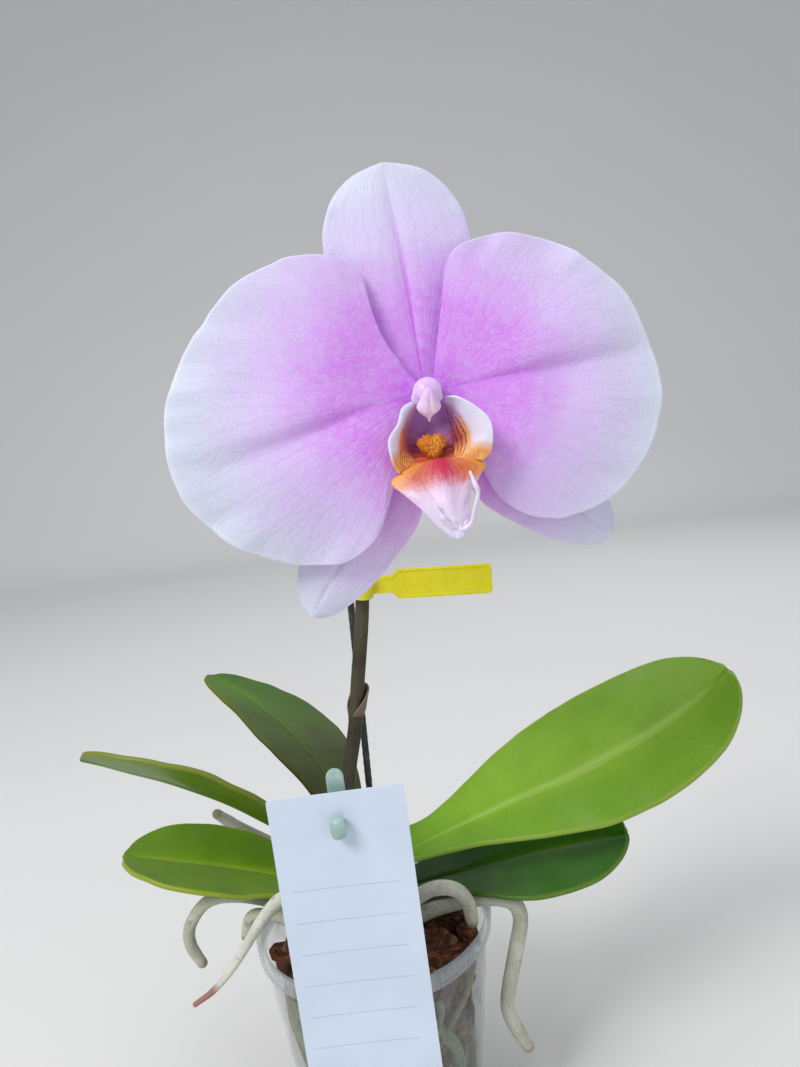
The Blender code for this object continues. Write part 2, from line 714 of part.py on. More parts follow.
def make_lip(mat, frame):
    """Side wings, middle lobe, callus and the two tendrils, grown as one piece."""
    lip = sheet("lip", midlobe_rows(), LIP_THICKNESS, mat, frame)
    bumps = blob("callus_shape", (3.9, 3.6, 3.4), 12, 8,
                 lambda a, b: 1 + 0.10 * math.sin(4 * a) * math.sin(5 * b), mat, frame)
    bumps.location = lip_point(0.1, -13.6, 7.2)
    boolean(lip, bumps, "UNION")
    for side, spread, name in ((-1, 4.6, "left_wing_shape"), (1, 7.4, "right_wing_shape")):
        boolean(lip, sheet(name, side_lobe_rows(side, spread), LIP_THICKNESS, mat, frame), "UNION")
    foot = tube("lip_foot_shape", [lip_point(0, -5.4, 2.0), lip_point(0, -9.0, 3.6),
                                   lip_point(0, -13.0, 5.8)],
                lambda t: (1.3 + 1.2 * t) * MM * FLOWER_SCALE, mat, frame)
    boolean(lip, foot, "UNION")
    curls = {
        "right_tendril_shape": [(2.2, -32.6, 13.6), (5.0, -32.8, 15.0), (8.4, -30.6, 16.4),
                                (9.8, -26.6, 17.2), (8.9, -22.6, 17.4), (7.8, -19.6, 16.6)],
        "left_tendril_shape": [(1.0, -32.6, 13.8), (-0.8, -31.0, 15.8), (-0.6, -28.0, 17.2),
                               (0.6, -26.4, 17.6)],
    }
    for name, points in curls.items():
        path = catmull([lip_point(*p) for p in points], 2 * len(points))
        boolean(lip, tube(name, path, lambda t: (0.75 - 0.4 * t) * MM * FLOWER_SCALE, mat, frame),
                "UNION")


# ---------------------------------------------------------------- stake and labels
STAKE_FOOT = (1.0, 13.4, 22.0)
STAKE_HEAD = (6.4, 4.6, 262.0)
HOLDER_FOOT = (-3.2, -32.4, 34.0)
HOLDER_HEAD = (-3.2, -42.6, 160.0)


def make_stake(mat, fill):
    foot, head = mm_points([STAKE_FOOT, STAKE_HEAD])
    cylinder("support_stake", STAKE_D / 2, foot, head, mat, sides=12)
    beyond = (head - foot).normalized() * CLEARANCE
    hole = cylinder("stake_hole_cutter", STAKE_D / 2 + CLEARANCE, foot - beyond, head, mat)
    boolean(fill, hole, "DIFFERENCE")


def make_tag_holder(mat, fill, card_y):
    """A flat stick with a rounded top and a peg that the hanging card is hooked on."""
    foot, head = mm_points([HOLDER_FOOT, HOLDER_HEAD])
    lean = (head - foot).normalized()
    length = (head - foot).length
    half = HOLDER_WIDTH / 2
    outline = [(-half, 0.0), (half, 0.0)]
    outline += [(half * math.cos(a), length + half * math.sin(a))
                for a in (math.pi * k / 8 for k in range(9))]
    holder = outline_plate("tag_holder", outline, HOLDER_THICKNESS, mat)
    holder.location = foot
    holder.rotation_euler = (math.atan2(-lean.y, lean.z), 0, 0)
    at_peg = foot + lean * ((PEG_Z - foot.z) / lean.z)
    knob_y = card_y - PEG_REACH
    shank = cylinder("peg_shape", PEG_D / 2, at_peg, (at_peg.x, knob_y, PEG_Z), mat)
    boolean(holder, shank, "UNION")
    half = KNOB_LENGTH / 2
    knob_path = [Vector((at_peg.x, knob_y, PEG_Z + share * half))
                 for share in (1, 0.72, 0, -0.72, -1)]
    knob = tube("peg_knob_shape", knob_path,
                lambda t: KNOB_D / 2 * (0.62 + 0.38 * math.sin(math.pi * t) ** 0.5), mat, None, 3)
    boolean(holder, knob, "UNION")
    wide = HOLDER_WIDTH + 2 * CLEARANCE
    thick = HOLDER_THICKNESS + 2 * CLEARANCE
    slot = box("holder_slot_cutter", (wide, thick, length), (0, 0, length / 2 - CLEARANCE), mat)
    slot.location = foot
    slot.rotation_euler = holder.rotation_euler
    boolean(fill, slot, "DIFFERENCE")
    return at_peg.x


def card_plane():
    """Y of the card's middle plane, just clear of the pot's lip."""
    return -(POT_RIM_D / 2 + 3 * CLEARANCE + CARD_THICKNESS / 2)


def make_hang_tag(mat, peg_x):
    y = card_plane()
    top = PEG_Z + CARD_HOLE_DROP
    card = box("hang_tag", (CARD_WIDTH, CARD_THICKNESS, CARD_LENGTH),
               (0, 0, CARD_HOLE_DROP - CARD_LENGTH / 2), mat)
    card.location = (peg_x, y, top - CARD_HOLE_DROP)
    card.rotation_euler = (0, math.radians(-1.2), 0)
    punch = cylinder("tag_hole_cutter", CARD_HOLE_D / 2, (peg_x, y - 0.004, PEG_Z),
                     (peg_x, y + 0.004, PEG_Z), mat)
    boolean(card, punch, "DIFFERENCE")


def make_loop_tag(mat, path):
    """A strap round the spike that carries a flat plate to one side."""
    share = 0.557
    k = int(share * (len(path) - 1))
    centre = path[k]
    inner = spike_radius(share) + CLEARANCE + 0.0006
    outer = inner + LOOP_TAG_THICKNESS
    low = centre.z - LOOP_BAND / 2
    profile = [(inner, 0.0), (inner, LOOP_BAND), (outer, LOOP_BAND), (outer, 0.0), (inner, 0.0)]
    strap = turned("loop_tag", profile, mat, segments=20)
    along = (path[k + 1] - path[k - 1]).normalized()
    strap.rotation_euler = Vector((0, 0, 1)).rotation_difference(along).to_euler()
    strap.location = centre - along * (LOOP_BAND / 2)
    neck = 0.0062
    half = LOOP_TAG_HEIGHT / 2
    end = outer + neck + LOOP_TAG_LENGTH - 0.006
    corner = 0.0014
    start = outer - LOOP_TAG_THICKNESS * 0.6
    outline = [(start, -0.0030), (outer + neck, -0.0030), (outer + neck + 0.002, -half),
               (end - corner, -half), (end, -half + corner), (end, half - corner),
               (end - corner, half), (outer + neck + 0.002, half), (outer + neck, 0.0030),
               (start, 0.0030)]
    plate = outline_plate("loop_plate_shape", outline, LOOP_TAG_THICKNESS, mat)
    plate.location = (centre.x, centre.y, low + LOOP_BAND / 2)
    plate.rotation_euler = (0, math.radians(2.6), math.radians(-3.0))
    boolean(strap, plate, "UNION")


# ---------------------------------------------------------------- assembly
def main():
    clear_scene()
    clear_plastic = material("clear_plastic", (150, 160, 160), 0.2)
    bark = material("bark", (87, 60, 42), 0.9)
    leaf_green = material("leaf_green", (96, 140, 50), 0.35)
    crown_green = material("crown_green", (90, 112, 48), 0.5)
    root_silver = material("root_silver", (172, 180, 170), 0.7)
    spike_brown = material("spike_brown", (80, 72, 54), 0.5)
    bract_pink = material("bract_pink", (118, 98, 86), 0.6)
    petal_pink = material("petal_pink", (206, 176, 238), 0.5)
    column_pink = material("column_pink", (217, 176, 241), 0.4)
    cap_white = material("cap_white", (226, 208, 244), 0.4)
    lip_cream = material("lip_cream", (214, 160, 150), 0.45)
    stake_black = material("stake_black", (24, 26, 24), 0.5)
    tag_yellow = material("tag_yellow", (192, 190, 12), 0.45)
    card_white = material("card_white", (226, 232, 238), 0.7)
    holder_mint = material("holder_mint", (168, 200, 192), 0.4)

    make_pot(clear_plastic)
    fill = make_bark_fill(bark)
    make_bark_chips(bark)
    make_wall_roots(root_silver)
    make_crown(crown_green, fill)
    make_leaves(leaf_green)
    path = make_spike(spike_brown)
    make_bract("spike_bract_lower", path, 0.31, 0.011, bract_pink, math.pi * 0.75)
    make_bract("spike_bract_upper", path, 0.70, 0.010, bract_pink, math.pi * 1.5)
    make_roots(root_silver)

    frame = make_flower_frame()
    make_pedicel(spike_brown, frame)
    make_petals_and_sepals(petal_pink, frame)
    make_column(column_pink, cap_white, frame)
    make_lip(lip_cream, frame)

    make_stake(stake_black, fill)
    peg_x = make_tag_holder(holder_mint, fill, card_plane())
    make_hang_tag(card_white, peg_x)
    make_loop_tag(tag_yellow, path)


main()
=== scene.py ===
"""Looks of the potted moth orchid: petals, lip, leaves, roots, bark, pot and labels.

Metres, +Z up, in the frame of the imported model.  Every piece is one rigid body with
the pot, so all of them ride on "root".
"""
import sys
import logging
import math
import random
from dataclasses import dataclass, field
from enum import Enum
from typing import Callable, Iterable, Sequence, Union

import bpy
from mathutils import Matrix, Vector, noise


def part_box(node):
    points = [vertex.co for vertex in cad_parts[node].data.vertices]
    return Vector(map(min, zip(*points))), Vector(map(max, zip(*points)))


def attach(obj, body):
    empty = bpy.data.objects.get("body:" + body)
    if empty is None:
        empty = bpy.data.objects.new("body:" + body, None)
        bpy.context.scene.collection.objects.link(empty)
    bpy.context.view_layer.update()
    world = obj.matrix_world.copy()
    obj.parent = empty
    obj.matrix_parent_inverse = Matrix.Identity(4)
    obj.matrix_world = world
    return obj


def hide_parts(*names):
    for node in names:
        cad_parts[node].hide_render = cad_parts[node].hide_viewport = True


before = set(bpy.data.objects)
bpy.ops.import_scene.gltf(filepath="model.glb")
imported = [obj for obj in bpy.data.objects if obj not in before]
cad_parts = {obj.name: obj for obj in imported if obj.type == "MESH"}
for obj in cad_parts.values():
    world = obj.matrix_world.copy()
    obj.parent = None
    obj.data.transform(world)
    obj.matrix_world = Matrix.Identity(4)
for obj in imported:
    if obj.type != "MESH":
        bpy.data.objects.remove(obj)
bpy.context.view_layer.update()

log = logging.getLogger("orchid")

MM = 0.001
BODY = "root"
Point = tuple[float, float, float]
Colour = tuple[float, float, float]
Place = Callable[[float, float], Vector]


# ---------------------------------------------------------------- shader maths
class Value:
    """A node socket that can be written in sums."""

    def __init__(self, net: "Net", socket: bpy.types.NodeSocket) -> None:
        """Keep the socket with the net that it belongs to."""
        self.net = net
        self.socket = socket

    def __add__(self, other: "Number") -> "Value":
        """Sum."""
        return self.net.math("ADD", self, other)

    def __radd__(self, other: "Number") -> "Value":
        """Sum, other first."""
        return self.net.math("ADD", other, self)

    def __sub__(self, other: "Number") -> "Value":
        """Difference."""
        return self.net.math("SUBTRACT", self, other)

    def __rsub__(self, other: "Number") -> "Value":
        """Difference, other first."""
        return self.net.math("SUBTRACT", other, self)

    def __mul__(self, other: "Number") -> "Value":
        """Product."""
        return self.net.math("MULTIPLY", self, other)

    def __rmul__(self, other: "Number") -> "Value":
        """Product, other first."""
        return self.net.math("MULTIPLY", other, self)

    def __truediv__(self, other: "Number") -> "Value":
        """Quotient."""
        return self.net.math("DIVIDE", self, other)

    def __neg__(self) -> "Value":
        """Opposite."""
        return self.net.math("MULTIPLY", self, -1.0)


Number = Union[Value, float]
Tint = Union[Value, Colour]


class Net:
    """The nodes of one material, ending in a Principled shader."""

    def __init__(self, name: str) -> None:
        """Start a material with only its shader.

        Args:
            name: the material's name.
        """
        self.material = bpy.data.materials.new(name)
        self.material.use_nodes = True
        self.tree = self.material.node_tree
        self.shader = self.tree.nodes["Principled BSDF"]
        coords = self.node("ShaderNodeTexCoord")
        self.place = Value(self, coords.outputs["Object"])
        self.flat = Value(self, coords.outputs["UV"])

    def plug(self, socket: bpy.types.NodeSocket, value: object) -> None:
        """Link a value to a socket, or set it.

        Args:
            socket: the input.
            value: a link, a colour or a number.
        """
        if isinstance(value, Value):
            self.tree.links.new(value.socket, socket)
        elif isinstance(value, tuple) and len(value) == 3 and socket.type == "RGBA":
            socket.default_value = (*value, 1.0)
        else:
            socket.default_value = value

    def node(self, kind: str, settings: dict | None = None,
             inputs: dict | None = None) -> bpy.types.Node:
        """Add a node.

        Args:
            kind: the node's type.
            settings: its properties; "stops" are a ramp's (place, colour) pairs.
            inputs: values or links by socket name or index.

        Returns:
            The node.
        """
        node = self.tree.nodes.new(kind)
        for key, value in (settings or {}).items():
            if key == "stops":
                self._fill_ramp(node.color_ramp, value)
            else:
                setattr(node, key, value)
        for key, value in (inputs or {}).items():
            self.plug(node.inputs[key], value)
        return node

    @staticmethod
    def _fill_ramp(ramp: bpy.types.ColorRamp, stops: Sequence[tuple[float, Colour]]) -> None:
        """Give a ramp its stops, first to last.

        Args:
            ramp: the node's ramp.
            stops: place and colour pairs.
        """
        while len(ramp.elements) < len(stops):
            ramp.elements.new(0.5)
        for element, (place, colour) in zip(ramp.elements, stops):
            element.position = place
            element.color = (*colour, 1.0)

    def math(self, operation: str, *values: Number) -> Value:
        """One Math node.

        Args:
            operation: the node's operation.
            values: its inputs, in order.

        Returns:
            The result.
        """
        node = self.node("ShaderNodeMath", {"operation": operation}, dict(enumerate(values)))
        return Value(self, node.outputs[0])

    def vector(self, operation: str, *values: object) -> Value:
        """One Vector Math node; its distance, length and dot product come out as a number.

        Args:
            operation: the node's operation.
            values: its inputs, in order.

        Returns:
            The result.
        """
        node = self.node("ShaderNodeVectorMath", {"operation": operation}, dict(enumerate(values)))
        out = "Value" if operation in {"DISTANCE", "LENGTH", "DOT_PRODUCT"} else "Vector"
        return Value(self, node.outputs[out])

    def parts(self, vector: Value) -> tuple[Value, Value, Value]:
        """The three numbers of a vector."""
        node = self.node("ShaderNodeSeparateXYZ", None, {0: vector})
        return tuple(Value(self, out) for out in node.outputs)

    def join(self, x: Number, y: Number, z: Number = 0.0) -> Value:
        """A vector from three numbers."""
        node = self.node("ShaderNodeCombineXYZ", None, {0: x, 1: y, 2: z})
        return Value(self, node.outputs[0])

    def noise(self, vector: Value, scale: float, detail: float = 3.0,
              roughness: float = 0.55) -> Value:
        """Cloudy noise from 0 to 1 around a middle of 0.5.

        Args:
            vector: where it is read.
            scale: how fine it is.
            detail: how many finer layers.
            roughness: how strong they are.

        Returns:
            The noise.
        """
        inputs = {"Vector": vector, "Scale": scale, "Detail": detail, "Roughness": roughness}
        return Value(self, self.node("ShaderNodeTexNoise", None, inputs).outputs[0])

    def cells(self, vector: Value, scale: float) -> Value:
        """Distance from the nearest cell's middle."""
        inputs = {"Vector": vector, "Scale": scale}
        return Value(self, self.node("ShaderNodeTexVoronoi", None, inputs).outputs[0])

    def span(self, value: Value, low: float, high: float, start: float = 0.0,
             end: float = 1.0) -> Value:
        """A soft step: start below low, end above high.

        Args:
            value: what is read.
            low: where the step starts.
            high: where it ends.
            start: the result before it.
            end: the result after it.

        Returns:
            The stepped value.
        """
        inputs = {"Value": value, "From Min": low, "From Max": high, "To Min": start, "To Max": end}
        node = self.node("ShaderNodeMapRange", {"interpolation_type": "SMOOTHSTEP"}, inputs)
        return Value(self, node.outputs["Result"])

    def ramp(self, value: Value, *stops: tuple[float, Colour]) -> Value:
        """A colour from a ramp."""
        node = self.node("ShaderNodeValToRGB", {"stops": stops}, {0: value})
        return Value(self, node.outputs[0])

    def mix(self, share: Number, first: Tint, second: Tint) -> Value:
        """One colour laid over another.

        Args:
            share: how much of the second shows.
            first: the colour below.
            second: the colour above.

        Returns:
            The mixed colour.
        """
        node = self.node("ShaderNodeMix", {"data_type": "RGBA"}, {0: share, 6: first, 7: second})
        return Value(self, node.outputs[2])

    def bump(self, height: Value, distance: float, strength: float = 1.0) -> Value:
        """A bumped normal; distance is the height of a full step in metres.

        Args:
            height: from 0 to about 1.
            distance: the height of a full step.
            strength: how much of it shows.

        Returns:
            The normal.
        """
        inputs = {"Height": height, "Distance": distance, "Strength": strength}
        return Value(self, self.node("ShaderNodeBump", None, inputs).outputs[0])

    def finish(self, **sockets: object) -> bpy.types.Material:
        """Set the shader's sockets, with _ for a space, and give the material.

        Args:
            sockets: a value or link for each socket.

        Returns:
            The material.
        """
        names = {name.lower().replace(" ", "_"): name for name in self.shader.inputs.keys()}
        for key, value in sockets.items():
            self.plug(self.shader.inputs[names[key]], value)
        return self.material


def srgb(red: int, green: int, blue: int) -> Colour:
    """A linear colour from the 0 to 255 numbers of a colour chart.

    Args:
        red: from 0 to 255.
        green: from 0 to 255.
        blue: from 0 to 255.

    Returns:
        The linear colour.
    """
    def linear(part: int) -> float:
        """One channel, without the chart's curve."""
        share = part / 255
        return share / 12.92 if share <= 0.04045 else ((share + 0.055) / 1.055) ** 2.4
    return linear(red), linear(green), linear(blue)


# ---------------------------------------------------------------- modelling
def round_axis(radius: float, angle: float, z: float) -> Vector:
    """The point at a radius and angle round the z axis, at a height."""
    return Vector((radius * math.cos(angle), radius * math.sin(angle), z))


def swing(side: Vector, up: Vector, angle: float) -> Vector:
    """The direction at an angle round a track, from its side toward its up."""
    return side * math.cos(angle) + up * math.sin(angle)


def within_turn(angle: float) -> float:
    """The same angle, from minus half a turn to half a turn."""
    return math.atan2(math.sin(angle), math.cos(angle))


def turns(*steps: tuple[float, str]) -> Matrix:
    """Rotations about the named axes, the last one made first.

    Args:
        steps: angle and axis pairs.

    Returns:
        One 4 x 4 matrix.
    """
    out = Matrix.Identity(4)
    for angle, axis in steps:
        out = out @ Matrix.Rotation(angle, 4, axis)
    return out


def deselect_all() -> None:
    """Leave nothing selected."""
    for obj in list(bpy.context.selected_objects):
        obj.select_set(False)


def activate(obj: bpy.types.Object) -> None:
    """Select one object only.

    Args:
        obj: the object.
    """
    deselect_all()
    obj.select_set(True)
    bpy.context.view_layer.objects.active = obj


def smoothstep(share: float) -> float:
    """A soft step from 0 to 1."""
    share = min(max(share, 0.0), 1.0)
    return share * share * (3 - 2 * share)


def through(share: float, start: float, middle: float, end: float) -> float:
    """The quadratic that takes three values at 0, 1/2 and 1."""
    return (start * (1 - share) * (1 - 2 * share) + middle * 4 * share * (1 - share)
            + end * share * (2 * share - 1))


def bell(distance: float, width: float) -> float:
    """A smooth bump of height 1."""
    return math.exp(-(distance / width) ** 2)


def ripple(point: Vector, size: float, seed: float = 0.0) -> float:
    """Smooth unevenness from -1 to 1 whose swells are about size across."""
    return noise.noise(point / size + Vector((seed, seed * 0.7, -seed)))


def add_sheet(name: str, columns: int, rows: int, place: Place) -> bpy.types.Object:
    """A grid laid over a surface.

    Args:
        name: the piece's name.
        columns: faces across.
        rows: faces along.
        place: the point at (s, t), s from -1 to 1 across and t from 0 to 1 along.

    Returns:
        The open sheet, with a UV map of its columns and rows.
    """
    deselect_all()
    bpy.ops.mesh.primitive_grid_add(x_subdivisions=columns, y_subdivisions=rows, size=2.0,
                                    calc_uvs=True)
    obj = bpy.context.object
    obj.name = name
    obj.data.name = name
    for vertex in obj.data.vertices:
        vertex.co = place(vertex.co.x, (vertex.co.y + 1) / 2)
    obj.data.update()
    return obj


def edit_all(obj: bpy.types.Object, *steps: Callable[[], object]) -> None:
    """Run edit-mode operators on the whole of a mesh.

    Args:
        obj: the mesh.
        steps: calls that run one operator each.
    """
    activate(obj)
    bpy.ops.object.mode_set(mode="EDIT")
    bpy.ops.mesh.select_all(action="SELECT")
    for step in steps:
        step()
    bpy.ops.object.mode_set(mode="OBJECT")


def face_outward(obj: bpy.types.Object) -> None:
    """Turn a closed mesh's faces outward."""
    edit_all(obj, lambda: bpy.ops.mesh.normals_make_consistent(inside=False))


def face_toward(obj: bpy.types.Object, direction: Vector) -> None:
    """Turn an open sheet's faces so that they look along a direction.

    Args:
        obj: the sheet.
        direction: where most of its faces should look.
    """
    total = sum((face.normal * face.area for face in obj.data.polygons), Vector())
    if total.dot(direction) < 0:
        edit_all(obj, bpy.ops.mesh.flip_normals)


def apply_modifier(obj: bpy.types.Object, kind: str, **settings: object) -> None:
    """Add a modifier with these settings and apply it.

    Args:
        obj: the mesh.
        kind: the modifier's type.
        settings: its properties.
    """
    modifier = obj.modifiers.new(kind, kind)
    for key, value in settings.items():
        setattr(modifier, key, value)
    activate(obj)
    bpy.ops.object.modifier_apply(modifier=modifier.name)


def thicken(obj: bpy.types.Object, thickness: float) -> None:
    """Give a sheet its thickness and a rounded edge; the far side takes the next material.

    Args:
        obj: the sheet.
        thickness: in metres.
    """
    apply_modifier(obj, "SOLIDIFY", thickness=thickness, offset=0.0, material_offset=1,
                   material_offset_rim=0)
    apply_modifier(obj, "SUBSURF", levels=1, render_levels=1)
    shade(obj)


def shade(obj: bpy.types.Object, angle: float | None = None) -> None:
    """Shade a piece smooth, all over or up to an angle in degrees.

    Args:
        obj: the mesh.
        angle: the sharpest edge that stays smooth; all of them when left out.
    """
    activate(obj)
    if angle is None:
        bpy.ops.object.shade_smooth()
    else:
        bpy.ops.object.shade_smooth_by_angle(angle=math.radians(angle))


def close_seam(obj: bpy.types.Object) -> None:
    """Weld a wrapped grid along its seam and poles, and point its faces outward.

    Args:
        obj: the wrapped grid.
    """
    edit_all(obj, lambda: bpy.ops.mesh.remove_doubles(threshold=2e-7),
             lambda: bpy.ops.mesh.dissolve_degenerate(threshold=1e-8),
             lambda: bpy.ops.mesh.normals_make_consistent(inside=False))


def smooth_path(points: Sequence[Vector], steps: int) -> list[Vector]:
    """Points spaced evenly along a smooth curve through the given ones.

    Args:
        points: what the curve goes through.
        steps: how many stretches to cut it into.

    Returns:
        steps + 1 points.
    """
    fine = 16
    dense: list[Vector] = []
    ends = [points[0] * 2 - points[1], *points, points[-1] * 2 - points[-2]]
    for i in range(1, len(ends) - 2):
        a, b, c, d = ends[i - 1:i + 3]
        for k in range(fine):
            t = k / fine
            dense.append(0.5 * (2 * b + (c - a) * t + (2 * a - 5 * b + 4 * c - d) * t * t
                                + (3 * b - a - 3 * c + d) * t ** 3))
    dense.append(points[-1])
    lengths = [0.0]
    for a, b in zip(dense, dense[1:]):
        lengths.append(lengths[-1] + (b - a).length)
    out = []
    j = 0
    for k in range(steps + 1):
        goal = lengths[-1] * k / steps
        while j < len(dense) - 2 and lengths[j + 1] < goal:
            j += 1
        stretch = lengths[j + 1] - lengths[j]
        out.append(dense[j].lerp(dense[j + 1], (goal - lengths[j]) / stretch if stretch else 0.0))
    return out


class Track:
    """A smooth curve with a steady cross-section frame along it."""

    def __init__(self, points: Sequence[Vector], steps: int = 80) -> None:
        """Sample the curve and carry a frame along it without twist.

        Args:
            points: what the curve goes through.
            steps: how many stretches to cut it into.
        """
        self.points = smooth_path(points, steps)
        self.length = sum((b - a).length for a, b in zip(self.points, self.points[1:]))
        self.along = [(self.points[min(i + 1, steps)] - self.points[max(i - 1, 0)]).normalized()
                      for i in range(steps + 1)]
        start = Vector((0, 0, 1)) if abs(self.along[0].z) < 0.9 else Vector((0, 1, 0))
        side = self.along[0].cross(start).normalized()
        self.side = []
        for along in self.along:
            side = (side - along * side.dot(along)).normalized()
            self.side.append(side)

    def at(self, share: float) -> tuple[Vector, Vector, Vector, Vector]:
        """The point, direction, side and up at a share of the way along.

        Args:
            share: from 0 to 1.

        Returns:
            The four vectors.
        """
        x = min(max(share, 0.0), 1.0) * (len(self.points) - 1)
        i = min(int(x), len(self.points) - 2)
        f = x - i
        along = self.along[i].lerp(self.along[i + 1], f).normalized()
        side = self.side[i].lerp(self.side[i + 1], f).normalized()
        return self.points[i].lerp(self.points[i + 1], f), along, side, side.cross(along)


def add_tube(name: str, track: Track, radius: Callable[[float, float], float], around: int = 20,
             steps: int = 60, cap: float = 0.0) -> bpy.types.Object:
    """A closed round rod along a track.

    Args:
        name: the piece's name.
        track: its centre line.
        radius: the radius at (share along, angle round).
        around: faces round it.
        steps: faces along it.
        cap: length of each rounded end; 0 takes the radius there.

    Returns:
        The closed mesh, with u round it and v along it.
    """
    ends = 5
    start = cap or radius(0.0, 0.0)
    finish = cap or radius(1.0, 0.0)
    stations = []
    for k in range(ends):
        a = math.pi / 2 * k / ends
        stations.append(((1 - math.cos(a)) * start / track.length, math.sin(a)))
    low = start / track.length
    high = 1 - finish / track.length
    stations += [(low + (high - low) * k / steps, 1.0) for k in range(steps + 1)]
    for k in range(ends - 1, -1, -1):
        a = math.pi / 2 * k / ends
        stations.append((1 - (1 - math.cos(a)) * finish / track.length, math.sin(a)))
    rows = len(stations) - 1

    def place(s: float, t: float) -> Vector:
        """The rod's point at (s, t).

        Args:
            s: from -1 to 1 across.
            t: from 0 to 1 along.

        Returns:
            The point.
        """
        share, scale = stations[round(t * rows)]
        middle, _, side, up = track.at(share)
        angle = math.pi * (s + 1)
        r = radius(share, angle) * scale
        return middle + swing(side, up, angle) * r

    obj = add_sheet(name, around, rows, place)
    close_seam(obj)
    shade(obj)
    return obj


def dress(obj: bpy.types.Object, materials: Iterable[bpy.types.Material],
          replaced: Iterable[str] = ()) -> bpy.types.Object:
    """Give a piece its materials and its place in the model.

    Args:
        obj: the finished piece.
        materials: one for each of its material slots.
        replaced: the nodes that it stands for.

    Returns:
        The piece.
    """
    for material in materials:
        obj.data.materials.append(material)
    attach(obj, BODY)
    if replaced:
        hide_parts(*replaced)
    log.info("%s: %d faces", obj.name, len(obj.data.polygons))
    return obj


def join_pieces(name: str, pieces: Sequence[bpy.types.Object]) -> bpy.types.Object:
    """Make several meshes one object.

    Args:
        name: the new object's name.
        pieces: the meshes.

    Returns:
        The one object.
    """
    activate(pieces[0])
    for piece in pieces:
        piece.select_set(True)
    if len(pieces) > 1:
        bpy.ops.object.join()
    obj = bpy.context.object
    obj.name = name
    obj.data.name = name
    return obj


def rails_surface(rails: Sequence[Sequence[Point]],
                  to_world: Callable[[Vector], Vector]) -> Place:
    """A surface that runs through three lines.

    Args:
        rails: three lines, at s = -1, 0 and 1, each from t = 0 to 1.
        to_world: takes a point of the rails to its place in the model.

    Returns:
        The surface as a function of (s, t).
    """
    steps = 64
    paths = [smooth_path([Vector(p) for p in rail], steps) for rail in rails]

    def place(s: float, t: float) -> Vector:
        """The point of the surface at (s, t).

        Args:
            s: from -1 to 1 across.
            t: from 0 to 1 along.

        Returns:
            The point.
        """
        x = t * steps
        i = min(int(x), steps - 1)
        low, middle, high = (path[i].lerp(path[i + 1], x - i) for path in paths)
        share = (s + 1) / 2
        point = (low * ((1 - share) * (1 - 2 * share)) + middle * (4 * share * (1 - share))
                 + high * (share * (2 * share - 1)))
        return to_world(point)

    return place


def add_outline(name: str, points: Sequence[Point]) -> bpy.types.Object:
    """One flat face round a list of points.

    Args:
        name: the piece's name.
        points: its corners, in order.

    Returns:
        The face, as an object.
    """
    deselect_all()
    bpy.ops.mesh.primitive_circle_add(vertices=len(points), radius=1.0, fill_type="NGON")
    obj = bpy.context.object
    obj.name = name
    for vertex, point in zip(obj.data.vertices, points):
        vertex.co = point
    return obj


def add_lump(name: str, detail: int, shape: Callable[[Vector], Vector]) -> bpy.types.Object:
    """A closed lump.

    Args:
        name: the piece's name.
        detail: subdivisions of the ball that it starts from.
        shape: where each point of the unit ball goes.

    Returns:
        The mesh, shaded smooth.
    """
    deselect_all()
    bpy.ops.mesh.primitive_ico_sphere_add(subdivisions=detail, radius=1.0)
    obj = bpy.context.object
    obj.name = name
    obj.data.name = name
    for vertex in obj.data.vertices:
        vertex.co = shape(vertex.co.normalized())
    obj.data.update()
    face_outward(obj)
    shade(obj)
    return obj


def blade_width(share: float, base: float, peak: float, taper: float = 2.4) -> float:
    """Half-width of a blade at a share of its length, as a share of the greatest.

    Args:
        share: how far along, from 0 to 1.
        base: the width at the foot.
        peak: where it is widest.
        taper: how full the tip is.

    Returns:
        The half-width.
    """
    rise = base + (1 - base) * smoothstep(share / peak)
    past = max(0.0, (share - peak) / (1 - peak))
    return rise * math.sqrt(max(1 - past ** taper, 0.0)) + 0.03


